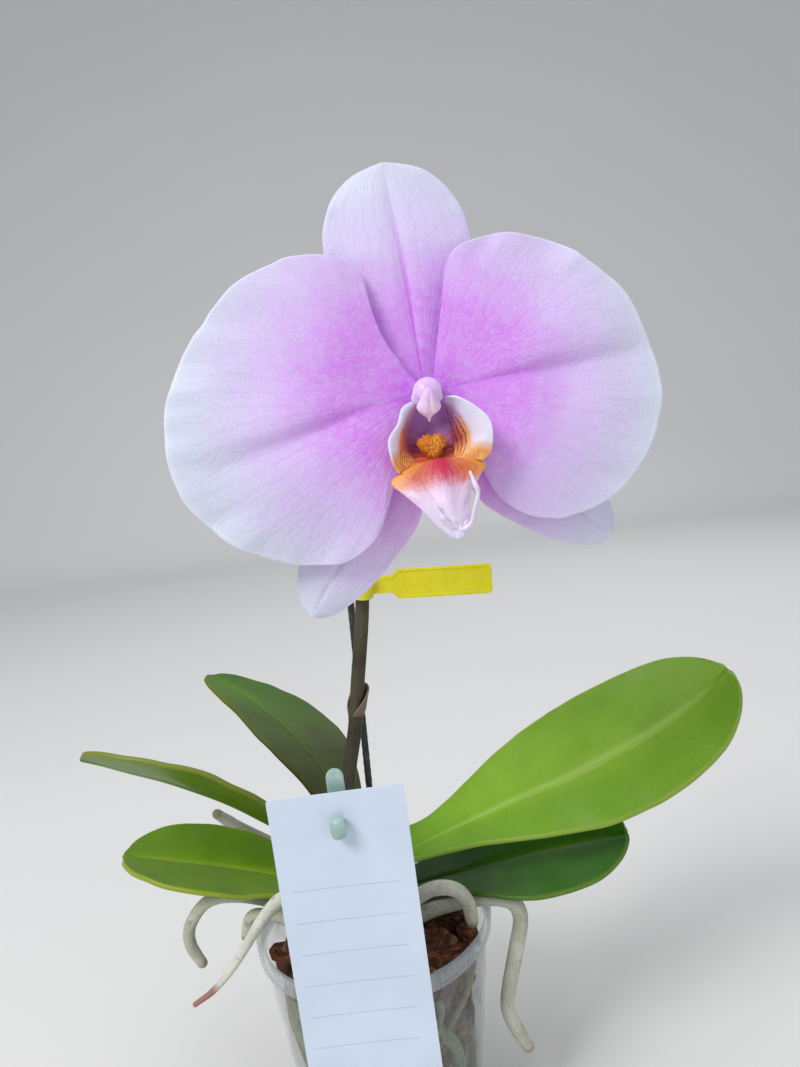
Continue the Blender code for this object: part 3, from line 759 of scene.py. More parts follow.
# ---------------------------------------------------------------- finishes
@dataclass(frozen=True)
class PetalFinish:
    """A lilac petal: pale rim, deeper throat, fanned veins and a frosted skin."""

    name: str
    root: Point                # where the petal springs from
    reach: float = 0.060       # how far its rim is from there
    midrib: float = 0.5        # where the midrib runs across the UV map
    stripe: float = 0.25       # how strongly the midrib is stained
    rim: Colour = srgb(210, 218, 234)
    body: Colour = srgb(217, 186, 243)
    heart: Colour = srgb(216, 132, 241)
    throat: Colour = srgb(198, 88, 226)
    vein: Colour = srgb(204, 146, 232)
    veins: float = 30.0
    heart_to: float = 0.31

    def make(self) -> bpy.types.Material:
        """Build the material.

        Returns:
            The finished material.
        """
        net = Net(self.name)
        u, v, _ = net.parts(net.flat)
        drift = net.noise(net.place, 160.0, 3.0)
        fine = net.noise(net.place, 900.0, 2.0)
        speck = net.cells(net.place, 2600.0)
        far = net.vector("DISTANCE", net.place, self.root) / self.reach
        along = far + (drift - 0.5) * 0.16
        tone = net.ramp(along, (0.0, self.throat), (self.heart_to * 0.4, self.heart),
                        (self.heart_to, self.heart), (self.heart_to + 0.24, self.body),
                        (self.heart_to + 0.58, self.rim))
        fan = u * self.veins + (drift - 0.5) * 1.5
        coarse = net.span(net.math("PINGPONG", fan, 0.5), 0.0, 0.20, 1.0, 0.0)
        branch = net.span(net.math("PINGPONG", fan * 2.0 + 0.3 + (fine - 0.5) * 0.8, 0.5),
                          0.0, 0.22, 1.0, 0.0)
        branch = branch * net.span(v, 0.35, 0.7)
        lines = net.math("MAXIMUM", coarse, branch * 0.7)
        fade = net.span(v, 0.86, 1.0, 1.0, 0.15) * net.span(v, 0.02, 0.2, 0.4, 1.0)
        lines = lines * fade
        tone = net.mix(lines * 0.12, tone, self.vein)
        cloud = net.span(net.noise(net.place, 420.0, 5.0, 0.66), 0.40, 0.66)
        tone = net.mix(cloud * 0.20, tone, self.rim)
        grain = net.noise(net.join(u * 190.0, v * 62.0), 1.0, 3.0, 0.7)
        frost = net.span(net.noise(net.place, 2300.0, 3.0, 0.75), 0.44, 0.66)
        frost = net.math("MAXIMUM", frost * 0.7, net.span(grain, 0.48, 0.68))
        tone = net.mix(frost * 0.26, tone, srgb(240, 234, 252))
        tone = net.mix(net.span(grain, 0.46, 0.30) * 0.16, tone, self.vein)
        rib = net.span(net.math("ABSOLUTE", u - self.midrib), 0.0, 0.035, 1.0, 0.0)
        tone = net.mix(rib * net.span(far, 0.85, 0.15, 0.0, self.stripe), tone, self.throat)
        edge = net.math("MAXIMUM", net.span(v, 0.955, 1.0),
                        net.span(net.math("ABSOLUTE", u - 0.5), 0.478, 0.5))
        tone = net.mix(edge * net.span(far, 0.6, 0.9) * 0.45, tone, srgb(230, 232, 246))
        height = lines * -0.28 + cloud * 0.25 + speck * 0.24 + rib * -0.4
        normal = net.bump(height, 0.00028, 0.55)
        rough = 0.46 + cloud * 0.10 + fine * 0.12
        return net.finish(base_color=tone, roughness=rough, normal=normal, sheen_weight=0.28,
                          sheen_roughness=0.4, specular_ior_level=0.35,
                          subsurface_weight=0.12, subsurface_scale=0.004,
                          subsurface_radius=(0.9, 0.55, 0.9))


@dataclass(frozen=True)
class WingFinish:
    """A side wing of the lip: white skin, orange foot, broken red bars inside."""

    name: str
    bars: float = 12.0
    white_to: float = 0.60
    orange_from: float = 0.72

    def make(self) -> bpy.types.Material:
        """Build the material.

        Returns:
            The finished material.
        """
        net = Net(self.name)
        u, v, _ = net.parts(net.flat)
        drift = net.noise(net.place, 420.0, 3.0)
        inward = u + (drift - 0.5) * 0.16
        upper = net.ramp(inward, (0.0, srgb(222, 226, 240)), (self.white_to, srgb(218, 210, 236)),
                         (self.white_to + 0.14, srgb(206, 160, 206)), (1.0, srgb(158, 100, 158)))
        lower = net.ramp(inward, (0.0, srgb(222, 226, 240)), (self.white_to, srgb(222, 206, 226)),
                         (self.white_to + 0.10, srgb(232, 166, 92)),
                         (self.white_to + 0.22, srgb(212, 108, 84)), (1.0, srgb(168, 60, 92)))
        tone = net.mix(net.span(v + (drift - 0.5) * 0.3, 0.26, 0.50), upper, lower)
        foot = net.span(v + (drift - 0.5) * 0.12 + u * 0.10, self.orange_from,
                        self.orange_from + 0.18)
        tone = net.mix(foot * 0.94, tone, srgb(226, 142, 60))
        gold = foot * net.span(net.noise(net.place, 900.0, 2.0), 0.40, 0.62)
        tone = net.mix(gold * 0.6, tone, srgb(238, 190, 96))
        band = u * self.bars + v * 1.6 + (drift - 0.5) * 1.1
        bars = net.span(net.math("PINGPONG", band, 0.5), 0.10, 0.20, 1.0, 0.0)
        bars = bars * net.span(net.noise(net.place, 1100.0, 2.0), 0.34, 0.48)
        bars = bars * net.span(u, self.white_to + 0.04, self.white_to + 0.14)
        bars = bars * net.span(v, 0.16, 0.34)
        tone = net.mix(bars * 0.9, tone, srgb(150, 16, 30))
        grain = net.cells(net.place, 2600.0)
        normal = net.bump(grain * 0.3 + bars * -0.3 + drift * 0.5, 0.00025, 0.5)
        return net.finish(base_color=tone, roughness=0.34 + drift * 0.16, normal=normal,
                          sheen_weight=0.15, specular_ior_level=0.45, subsurface_weight=0.08,
                          subsurface_scale=0.003)


@dataclass(frozen=True)
class ThroatFinish:
    """The dark hollow behind the callus."""

    name: str = "throat_magenta"

    def make(self) -> bpy.types.Material:
        """Build the material.

        Returns:
            The finished material.
        """
        net = Net(self.name)
        _, v, _ = net.parts(net.flat)
        drift = net.noise(net.place, 700.0, 3.0)
        tone = net.ramp(v + (drift - 0.5) * 0.3, (0.0, srgb(180, 122, 196)),
                        (0.40, srgb(156, 92, 158)), (0.66, srgb(164, 60, 96)),
                        (0.86, srgb(206, 84, 60)), (1.0, srgb(226, 130, 60)))
        bars = net.span(net.math("PINGPONG", v * 9.0 + drift * 1.4, 0.5), 0.1, 0.24, 1.0, 0.0)
        tone = net.mix(bars * net.span(v, 0.3, 0.6) * 0.6, tone, srgb(140, 14, 40))
        normal = net.bump(drift, 0.0003, 0.6)
        return net.finish(base_color=tone, roughness=0.4 + drift * 0.2, normal=normal)


@dataclass(frozen=True)
class MidlobeFinish:
    """The front lobe: orange shoulders, crimson heart, white tip."""

    name: str = "midlobe_cream"

    def make(self) -> bpy.types.Material:
        """Build the material.

        Returns:
            The finished material.
        """
        net = Net(self.name)
        u, v, _ = net.parts(net.flat)
        drift = net.noise(net.place, 520.0, 3.0)
        side = net.math("ABSOLUTE", u - 0.5) * 2.0
        wander = (drift - 0.5) * 0.3
        tone = net.ramp(v + wander * 0.6, (0.0, srgb(196, 60, 74)), (0.20, srgb(214, 110, 140)),
                        (0.42, srgb(226, 200, 226)), (1.0, srgb(224, 218, 238)))
        streaks = net.noise(net.join(u * 26.0, v * 2.6), 1.0, 3.0, 0.6) - 0.5
        low = v + wander * 0.7 + streaks * 0.34
        shoulder = net.span(side + wander, 0.08, 0.40) * net.span(low, 0.52, 0.22)
        tone = net.mix(shoulder, tone, srgb(206, 104, 66))
        tips = net.span(side + wander, 0.52, 0.98) * net.span(low, 0.48, 0.26)
        tone = net.mix(tips * 0.9, tone, srgb(236, 164, 60))
        bruise = net.span(streaks, 0.02, 0.12) * net.span(low, 0.40, 0.20)
        tone = net.mix(bruise * net.span(side, 0.25, 0.6) * 0.6, tone, srgb(176, 66, 44))
        flush = net.span(side + wander, 0.46, 0.04) * net.span(low, 0.50, 0.12)
        tone = net.mix(flush * 0.95, tone, srgb(194, 22, 62))
        rays = net.span(net.math("PINGPONG", u * 15.0 + wander * 2.0, 0.5), 0.06, 0.18, 1.0, 0.0)
        rays = rays * net.span(side, 0.6, 0.3) * net.span(v, 0.42, 0.2)
        tone = net.mix(rays * 0.6, tone, srgb(190, 22, 50))
        dots = net.span(net.cells(net.place, 1500.0), 0.18, 0.34, 1.0, 0.0)
        dots = dots * net.span(v, 0.55, 0.2) * net.span(drift, 0.45, 0.6)
        tone = net.mix(dots * 0.5, tone, srgb(170, 30, 36))
        normal = net.bump(net.cells(net.place, 2400.0) * 0.25 + drift * 0.6, 0.00025, 0.5)
        return net.finish(base_color=tone, roughness=0.32 + drift * 0.18, normal=normal,
                          specular_ior_level=0.5, subsurface_weight=0.08,
                          subsurface_scale=0.003)


@dataclass(frozen=True)
class CallusFinish:
    """The warty yellow-orange callus with red-brown specks."""

    name: str = "callus_orange"

    def make(self) -> bpy.types.Material:
        """Build the material.

        Returns:
            The finished material.
        """
        net = Net(self.name)
        drift = net.noise(net.place, 380.0, 3.0)
        tone = net.ramp(drift, (0.30, srgb(214, 110, 14)), (0.52, srgb(238, 152, 24)),
                        (0.72, srgb(248, 188, 60)))
        specks = net.span(net.cells(net.place, 1500.0), 0.16, 0.30, 1.0, 0.0)
        specks = specks * net.span(net.noise(net.place, 700.0, 1.0), 0.40, 0.55)
        tone = net.mix(specks * 0.6, tone, srgb(150, 44, 14))
        warts = net.cells(net.place, 1500.0)
        # painted shade: deeper orange in the valleys between the warts
        tone = net.mix(net.span(warts, 0.30, 0.62) * 0.55, tone, srgb(190, 84, 10))
        normal = net.bump(warts * -1.0 + drift * 0.4, 0.00045, 0.9)
        return net.finish(base_color=tone, roughness=0.28 + drift * 0.2, normal=normal,
                          specular_ior_level=0.5, subsurface_weight=0.06,
                          subsurface_scale=0.002)


@dataclass(frozen=True)
class WaxFinish:
    """Smooth waxy flesh of the column, its cap and the tendrils."""

    name: str
    light: Colour
    deep: Colour
    stain: Colour
    stain_amount: float = 0.0

    def make(self) -> bpy.types.Material:
        """Build the material.

        Returns:
            The finished material.
        """
        net = Net(self.name)
        drift = net.noise(net.place, 300.0, 3.0)
        fine = net.noise(net.place, 1600.0, 2.0)
        tone = net.ramp(drift, (0.32, self.deep), (0.62, self.light))
        patch = net.span(net.noise(net.place, 210.0, 1.0), 0.46, 0.62)
        tone = net.mix(patch * self.stain_amount, tone, self.stain)
        tone = net.mix(net.span(fine, 0.55, 0.75) * 0.25, tone, self.light)
        normal = net.bump(fine * 0.4 + drift, 0.00016, 0.5)
        return net.finish(base_color=tone, roughness=0.26 + fine * 0.2, normal=normal,
                          specular_ior_level=0.5, subsurface_weight=0.12,
                          subsurface_scale=0.003)


@dataclass(frozen=True)
class LeafFinish:
    """A thick leaf: soft pale midrib (partly a painted highlight), parallel veins, coloured edge,
    waxy skin and painted shade.
    """

    name: str
    blade: Colour
    dark: Colour
    rib: Colour
    edge: Colour
    foot: Colour
    gloss: float = 0.34
    foot_reach: float = 0.30

    def make(self) -> bpy.types.Material:
        """Build the material.

        Returns:
            The finished material.
        """
        net = Net(self.name)
        u, v, _ = net.parts(net.flat)
        broad = net.noise(net.place, 42.0, 3.0)
        patchy = net.noise(net.place, 150.0, 4.0, 0.6)
        fine = net.noise(net.place, 1100.0, 2.0)
        off = net.math("ABSOLUTE", u - 0.5) * 2.0
        tone = net.mix(net.span(broad, 0.25, 0.65, 0.45, 1.0), self.dark, self.blade)
        tone = net.mix(net.span(patchy, 0.5, 0.74) * 0.06, tone, self.rib)
        tone = net.mix(net.span(patchy, 0.44, 0.24) * 0.12, tone, self.dark)
        lines = net.math("PINGPONG", u * 34.0 + (broad - 0.5) * 1.2, 0.5) * 2.0
        streaks = net.span(lines, 0.0, 0.45, 1.0, 0.0)
        tone = net.mix(streaks * 0.10, tone, self.dark)
        # paler midrib: partly its own colour, partly a painted highlight along the fold
        midrib = net.span(off, 0.0, 0.13, 1.0, 0.0) * net.span(v, 0.99, 0.8)
        tone = net.mix(midrib * 0.50, tone, self.rib)
        shadow = net.span(u + (broad - 0.5) * 0.3, 0.62, 0.30) * net.span(off, 0.10, 0.30)
        tone = net.mix(shadow * 0.40, tone, self.dark)
        # painted shade: a thin darker line in the midrib crease
        groove = net.span(off, 0.0, 0.024, 1.0, 0.0)
        tone = net.mix(groove * 0.25, tone, self.dark)
        rim = net.span(off + (patchy - 0.5) * 0.05, 0.93, 1.0)
        tone = net.mix(rim * 0.42, tone, self.edge)
        # darker toward the base: painted shade low down where the leaves crowd round the stem; on
        # the upper left leaf partly a brown tinge as well
        foot = net.span(v + (broad - 0.5) * 0.1, self.foot_reach, self.foot_reach * 0.3)
        tone = net.mix(foot * 0.8, tone, self.foot)
        dots = net.span(net.cells(net.place, 420.0), 0.07, 0.13, 1.0, 0.0)
        dots = dots * net.span(net.noise(net.place, 90.0, 1.0), 0.52, 0.62)
        tone = net.mix(dots * 0.45, tone, self.rib)
        dust = net.span(net.noise(net.place, 520.0, 4.0, 0.7), 0.52, 0.72)
        tone = net.mix(dust * 0.05, tone, srgb(206, 212, 188))
        height = streaks * -0.10 + patchy * 0.5 + fine * 0.10 + groove * -0.9
        normal = net.bump(height, 0.00035, 0.40)
        rough = self.gloss + patchy * 0.12 + dust * 0.16
        return net.finish(base_color=tone, roughness=rough, normal=normal, coat_weight=0.04,
                          coat_roughness=0.3, specular_ior_level=0.24)


@dataclass(frozen=True)
class RootFinish:
    """A fat root in its silvery velamen, green where damp, coloured at the tip."""

    name: str
    silver: Colour = srgb(198, 197, 180)
    damp: Colour = srgb(142, 146, 116)
    soil: Colour = srgb(124, 104, 80)
    tip: Colour = srgb(120, 134, 78)
    tip_from: float = 0.93
    damp_share: float = 0.45

    def make(self) -> bpy.types.Material:
        """Build the material.

        Returns:
            The finished material.
        """
        net = Net(self.name)
        u, v, _ = net.parts(net.flat)
        broad = net.noise(net.place, 90.0, 3.0)
        patchy = net.noise(net.place, 380.0, 4.0, 0.62)
        fine = net.noise(net.place, 1900.0, 3.0, 0.7)
        tone = net.mix(net.span(broad + (patchy - 0.5) * 0.5, 0.40, 0.62) * self.damp_share,
                       self.silver, self.damp)
        tone = net.mix(net.span(patchy, 0.46, 0.30) * 0.55, tone, self.soil)
        threads = net.noise(net.join(u * 46.0, v * 9.0), 1.0, 2.0)
        tone = net.mix(net.span(threads, 0.52, 0.70) * 0.38, tone, srgb(222, 226, 220))
        pits = net.span(net.cells(net.place, 1500.0), 0.10, 0.22, 1.0, 0.0)
        pits = pits * net.span(fine, 0.44, 0.60)
        tone = net.mix(pits * 0.55, tone, self.soil)
        tip = net.span(v + (patchy - 0.5) * 0.03, self.tip_from, self.tip_from + 0.035)
        tone = net.mix(tip * 0.85, tone, self.tip)
        height = patchy * 0.7 + threads * 0.5 + fine * 0.35 - pits * 0.5
        normal = net.bump(height, 0.00035, 0.7)
        rough = 0.74 - tip * 0.3 + fine * 0.12
        return net.finish(base_color=tone, roughness=rough, normal=normal, sheen_weight=0.1,
                          specular_ior_level=0.3)


@dataclass(frozen=True)
class SpikeFinish:
    """The flower stem: olive-brown skin with pale and purple flecks."""

    name: str
    olive: Colour = srgb(74, 72, 48)
    brown: Colour = srgb(58, 46, 38)
    fleck: Colour = srgb(136, 128, 100)

    def make(self) -> bpy.types.Material:
        """Build the material.

        Returns:
            The finished material.
        """
        net = Net(self.name)
        u, v, _ = net.parts(net.flat)
        broad = net.noise(net.place, 70.0, 3.0)
        patchy = net.noise(net.place, 520.0, 3.0, 0.6)
        streak = net.noise(net.join(u * 30.0, v * 26.0), 1.0, 3.0)
        tone = net.mix(net.span(broad, 0.36, 0.64), self.brown, self.olive)
        tone = net.mix(net.span(streak, 0.50, 0.68) * 0.4, tone, self.brown)
        flecks = net.span(net.cells(net.place, 900.0), 0.12, 0.24, 1.0, 0.0)
        flecks = flecks * net.span(patchy, 0.46, 0.6)
        tone = net.mix(flecks * 0.6, tone, self.fleck)
        tone = net.mix(net.span(patchy, 0.62, 0.78) * 0.35, tone, srgb(104, 70, 78))
        height = streak * 0.8 + patchy * 0.5
        normal = net.bump(height, 0.00022, 0.6)
        return net.finish(base_color=tone, roughness=0.42 + patchy * 0.2, normal=normal,
                          specular_ior_level=0.4)


@dataclass(frozen=True)
class BarkFinish:
    """Conifer bark: layered red-brown cork, with painted shade near black in its cracks."""

    name: str
    light: Colour = srgb(164, 112, 74)
    red: Colour = srgb(112, 62, 40)
    dark: Colour = srgb(34, 23, 18)

    def make(self) -> bpy.types.Material:
        """Build the material.

        Returns:
            The finished material.
        """
        net = Net(self.name)
        x, y, z = net.parts(net.place)
        broad = net.noise(net.place, 130.0, 2.0)
        layers = net.noise(net.join(x * 260.0, y * 260.0, z * 1500.0), 1.0, 4.0, 0.62)
        grain = net.noise(net.place, 1300.0, 4.0, 0.7)
        tone = net.ramp(layers, (0.30, self.dark), (0.50, self.red), (0.70, self.light))
        tone = net.mix(net.span(broad, 0.42, 0.60) * 0.55, tone, self.dark)
        tone = net.mix(net.span(broad, 0.56, 0.66) * 0.6, tone, srgb(178, 130, 88))
        tone = net.mix(net.span(grain, 0.56, 0.74) * 0.35, tone, srgb(158, 132, 108))
        # painted shade: the cracks, sunk in by the bump below, are painted near black
        cracks = net.span(net.cells(net.place, 420.0), 0.52, 0.66)
        tone = net.mix(cracks * 0.45, tone, self.dark)
        height = layers * 1.0 + grain * 0.5 - cracks * 0.6
        normal = net.bump(height, 0.0007, 0.85)
        return net.finish(base_color=tone, roughness=0.80 + grain * 0.15, normal=normal,
                          specular_ior_level=0.25)


@dataclass(frozen=True)
class PotFinish:
    """Thin clear plastic, hazed by water marks and brighter on its stiff rim."""

    name: str = "clear_plastic_wall"
    rim_from: float = 0.0785
    haze: float = 0.14

    def make(self) -> bpy.types.Material:
        """Build the material.

        Returns:
            The finished material.
        """
        net = Net(self.name)
        x, y, z = net.parts(net.place)
        cloud = net.noise(net.place, 60.0, 4.0, 0.6)
        runs = net.noise(net.join(x * 420.0, y * 420.0, z * 34.0), 1.0, 2.0)
        spots = net.span(net.cells(net.place, 330.0), 0.10, 0.22, 1.0, 0.0)
        spots = spots * net.span(net.noise(net.place, 120.0, 2.0), 0.50, 0.62)
        rim = net.span(z, self.rim_from - 0.0008, self.rim_from + 0.0004)
        tone = net.mix(rim, srgb(150, 160, 158), srgb(176, 186, 192))
        tone = net.mix(net.span(runs, 0.52, 0.72) * 0.4, tone, srgb(206, 212, 208))
        film = net.span(cloud, 0.40, 0.72) * 0.16 + net.span(runs, 0.54, 0.74) * 0.10
        alpha = self.haze + film + spots * 0.22 + rim * 0.28
        normal = net.bump(cloud * 0.8 + spots * 0.5 + runs * 0.3, 0.0003, 0.35)
        rough = 0.14 + net.span(cloud, 0.4, 0.7) * 0.16 + spots * 0.25
        return net.finish(base_color=tone, alpha=alpha, roughness=rough, normal=normal,
                          specular_ior_level=0.6, coat_weight=0.4, coat_roughness=0.12)


@dataclass(frozen=True)
class PlasticFinish:
    """Moulded plastic with a faint pebble, scuffs and dust."""

    name: str
    colour: Colour
    shadow: Colour
    gloss: float = 0.32

    def make(self) -> bpy.types.Material:
        """Build the material.

        Returns:
            The finished material.
        """
        net = Net(self.name)
        cloud = net.noise(net.place, 140.0, 3.0)
        pebble = net.noise(net.place, 2400.0, 2.0)
        scuff = net.span(net.noise(net.place, 620.0, 5.0, 0.75), 0.56, 0.70)
        tone = net.mix(net.span(cloud, 0.38, 0.66), self.shadow, self.colour)
        tone = net.mix(scuff * 0.22, tone, srgb(214, 214, 206))
        normal = net.bump(pebble * 0.6 - scuff * 0.4, 0.00012, 0.6)
        rough = self.gloss + pebble * 0.12 + scuff * 0.25
        return net.finish(base_color=tone, roughness=rough, normal=normal,
                          specular_ior_level=0.5)


@dataclass(frozen=True)
class CardFinish:
    """Uncoated white card with faint ruled lines, soft fibres and a watermark of damp."""

    name: str = "card_paper"
    rules: int = 7
    top: float = 0.150
    bottom: float = 0.058

    def make(self) -> bpy.types.Material:
        """Build the material.

        Returns:
            The finished material.
        """
        net = Net(self.name)
        x, _, z = net.parts(net.place)
        fibre = net.noise(net.join(x * 1500.0, z * 900.0), 1.0, 4.0, 0.7)
        cloud = net.noise(net.place, 55.0, 3.0)
        tone = net.mix(net.span(cloud, 0.35, 0.70), srgb(208, 221, 236), srgb(214, 226, 240))
        tone = net.mix(net.span(fibre, 0.54, 0.72) * 0.22, tone, srgb(196, 204, 212))
        share = (z - self.bottom) / (self.top - 0.014 - self.bottom)
        rule = net.math("PINGPONG", share * float(self.rules), 0.5)
        line = net.span(rule, 0.0, 0.022, 1.0, 0.0) * net.span(share, 1.0, 0.985)
        inside = net.span(net.math("ABSOLUTE", x + 0.0032), 0.0178, 0.0172)
        pencil = line * inside * net.span(fibre, 0.30, 0.52)
        tone = net.mix(pencil * 0.50, tone, srgb(128, 140, 158))
        damp = net.span(z + (cloud - 0.5) * 0.03, 0.060, 0.046)
        tone = net.mix(damp * 0.22, tone, srgb(186, 176, 152))
        normal = net.bump(fibre, 0.00008, 0.6)
        return net.finish(base_color=tone, roughness=0.72 + fibre * 0.12, normal=normal,
                          specular_ior_level=0.25)


# ---------------------------------------------------------------- flower
@dataclass
class Flower:
    """The open flower, made in its own plane: x across, y up, z toward its front, in mm."""

    centre: Point = (0.0366, -0.0889, 0.2752)
    turn: float = 6.0
    lift: float = 3.0
    petal_thickness: float = 0.00085
    sepal_thickness: float = 0.0009
    claw_radius: float = 2.3
    column_radius: float = 3.6
    to_model: Matrix = field(init=False)

    def __post_init__(self) -> None:
        """Work out where the flower's plane lies in the model."""
        lean = Matrix.Rotation(math.radians(90 - self.lift), 4, "X")
        turned = Matrix.Rotation(math.radians(self.turn), 4, "Z")
        self.to_model = Matrix.Translation(self.centre) @ turned @ lean

    def at(self, point: Vector) -> Vector:
        """A point of the flower's plane, in the model."""
        return self.to_model @ (point * MM)

    @property
    def front(self) -> Vector:
        """Which way the flower faces."""
        return self.to_model.to_3x3() @ Vector((0, 0, 1))


@dataclass(frozen=True)
class PetalShape:
    """One broad petal: where it springs from, its claw's span and its outline."""

    name: str
    root: tuple[float, float]
    claw: tuple[float, float]
    outline: tuple[tuple[float, float], ...]
    crease: float
    wave: float
    curl: tuple[float, float, float]      # angle, width and depth of a rolled edge
    bow: float = 0.0                      # how far its upper inner edge bends from the sepal


PETALS = (
    PetalShape("petal_left", (-4.0, 1.5), (132, 200),
               ((107, 27), (109, 33), (116, 37), (128, 42.3), (140, 46.6), (152, 50), (165, 54),
                (178, 57.8), (189, 59.8), (199, 60), (209, 58), (219, 55), (230, 50.6),
                (241, 45.3), (248, 39.5), (251, 32.5), (248, 25), (240, 16.7)),
               195, 0.7, (236, 16, 3.2), 2.5),
    PetalShape("petal_right", (4.0, 1.5), (50, -22),
               ((83, 27), (80, 32), (72, 35.6), (60, 40), (47, 43.7), (34, 47), (20, 50.3),
                (6, 52.8), (-6, 55), (-17, 55.3), (-29, 53.7), (-40, 50.6), (-51, 45.4),
                (-60, 39.6), (-67, 33), (-69, 27.7), (-65, 21.6), (-58, 17.5)),
               5, 0.6, (-48, 18, 2.0)),
)


@dataclass
class Petals(Flower):
    """The two broad petals."""

    columns: int = 104
    rows: int = 56

    def depth(self, shape: PetalShape, x: float, y: float) -> float:
        """How far a petal stands forward of the flower's plane, in mm.

        Args:
            shape: the petal.
            x: across from the petal's root, in mm.
            y: up from the petal's root, in mm.

        Returns:
            The depth in mm.
        """
        distance = math.hypot(x, y) / 57.0
        angle = math.atan2(y, x)
        off = within_turn(angle - math.radians(shape.crease))
        bowl = 3.2 * smoothstep(distance / 0.45) - 5.5 * max(0.0, distance - 0.45) ** 1.6
        keel = 0.9 * bell(off, 0.16) + 0.55 * bell(off, 0.055)
        above = off if shape.crease < 90 else -off
        keel -= 0.9 * math.tanh(above / 0.06) * bell(above, 0.32)
        keel *= smoothstep((distance - 0.08) / 0.4) * smoothstep((1.06 - distance) / 0.30)
        roll_back = -3.0 * (abs(off) / 1.45) ** 3 * smoothstep(distance / 0.5)
        lift = 0.9 * math.sin(5.0 * off + 1.0) * smoothstep((distance - 0.25) / 0.5)
        curl = within_turn(angle - math.radians(shape.curl[0]))
        edge = smoothstep((distance - 0.52) / 0.36)
        curl = -shape.curl[2] * bell(curl, math.radians(shape.curl[1])) * edge
        swells = ripple(Vector((x, y, 7.0)), 13.0, 3.0) * 0.75 * smoothstep(distance / 0.5)
        return 0.6 + bowl - keel + roll_back + lift * 0.6 + curl + swells

    def place(self, shape: PetalShape) -> Place:
        """The petal as a function of across and along.

        Args:
            shape: the petal.

        Returns:
            The point at (s, t), in the model.
        """
        root = Vector((*shape.root, 0.0))
        rim = smooth_path([root + round_axis(reach, math.radians(angle), 0.0)
                           for angle, reach in shape.outline], self.columns * 2)

        def place(s: float, t: float) -> Vector:
            """The petal's point at (s, t).

            Args:
                s: from -1 to 1 across.
                t: from 0 to 1 along.

            Returns:
                The point.
            """
            i = round((s + 1) / 2 * self.columns * 2)
            claw_angle = math.radians(shape.claw[0] + (shape.claw[1] - shape.claw[0])
                                      * (s + 1) / 2)
            claw = round_axis(self.claw_radius, claw_angle, 0.0)
            share = t ** 0.85
            nick = 1 + 0.006 * ripple(rim[i], 3.2, 5.0) + 0.010 * ripple(rim[i], 8.0, 9.0)
            point = claw.lerp(root + (rim[i] - root) * nick, share)
            point.x -= shape.bow * smoothstep((-s - 0.5) / 0.5) * math.sin(math.pi * share)
            depth = self.depth(shape, point.x - root.x, point.y - root.y)
            frill = smoothstep((t - 0.72) / 0.28) * shape.wave * smoothstep((1 - abs(s)) / 0.25)
            depth += frill * ripple(rim[i], 7.5, 2.0) * 1.7 + frill * ripple(rim[i], 3.6, 4.0) * 0.5
            return self.at(Vector((point.x, point.y, depth)))

        return place

    def midrib_share(self, shape: PetalShape) -> float:
        """Where the crease runs across the petal's UV map.

        Args:
            shape: the petal.

        Returns:
            From 0 to 1.
        """
        place = self.place(shape)
        inverse = self.to_model.inverted()
        best = (9.0, 0.5)
        for k in range(self.columns + 1):
            s = 2 * k / self.columns - 1
            point = inverse @ place(s, 0.7) / MM
            angle = math.atan2(point.y - shape.root[1], point.x - shape.root[0])
            off = within_turn(angle - math.radians(shape.crease))
            best = min(best, (abs(off), k / self.columns))
        return best[1]

    def build(self) -> None:
        """Make both petals."""
        for shape in PETALS:
            obj = add_sheet(shape.name + "_blade", self.columns, self.rows, self.place(shape))
            face_toward(obj, self.front)
            thicken(obj, self.petal_thickness)
            share = self.midrib_share(shape)
            root = tuple(self.at(Vector((*shape.root, 1.0))))
            face = PetalFinish(shape.name + "_lilac", root, midrib=share)
            back = PetalFinish(shape.name + "_back", root, midrib=share, body=srgb(226, 204, 246),
                               heart=srgb(220, 176, 240), throat=srgb(184, 160, 180),
                               vein=srgb(206, 154, 230))
            dress(obj, (face.make(), back.make()), [shape.name])


@dataclass(frozen=True)
class SepalShape:
    """One narrow sepal, from its base to its tip in the flower's plane."""

    name: str
    base: tuple[float, float]
    tip: tuple[float, float]
    half: float
    back: float
    peak: float
    neck: float
    taper: float
    body: Colour
    heart: Colour


SEPALS = (
    SepalShape("dorsal_sepal", (-0.2, 4.9), (-3.8, 56.4), 17.8, 1.0, 0.56, 0.20, 2.5,
               srgb(216, 200, 242), srgb(214, 140, 240)),
    SepalShape("lateral_sepal_left", (-3.6, -4.4), (-34.2, -51.2), 12.9, 4.0, 0.42, 0.24, 1.5,
               srgb(222, 190, 240), srgb(216, 136, 236)),
    SepalShape("lateral_sepal_right", (3.9, -4.1), (45.4, -40.6), 12.6, 4.0, 0.42, 0.24, 1.6,
               srgb(220, 186, 238), srgb(212, 130, 234)),
)


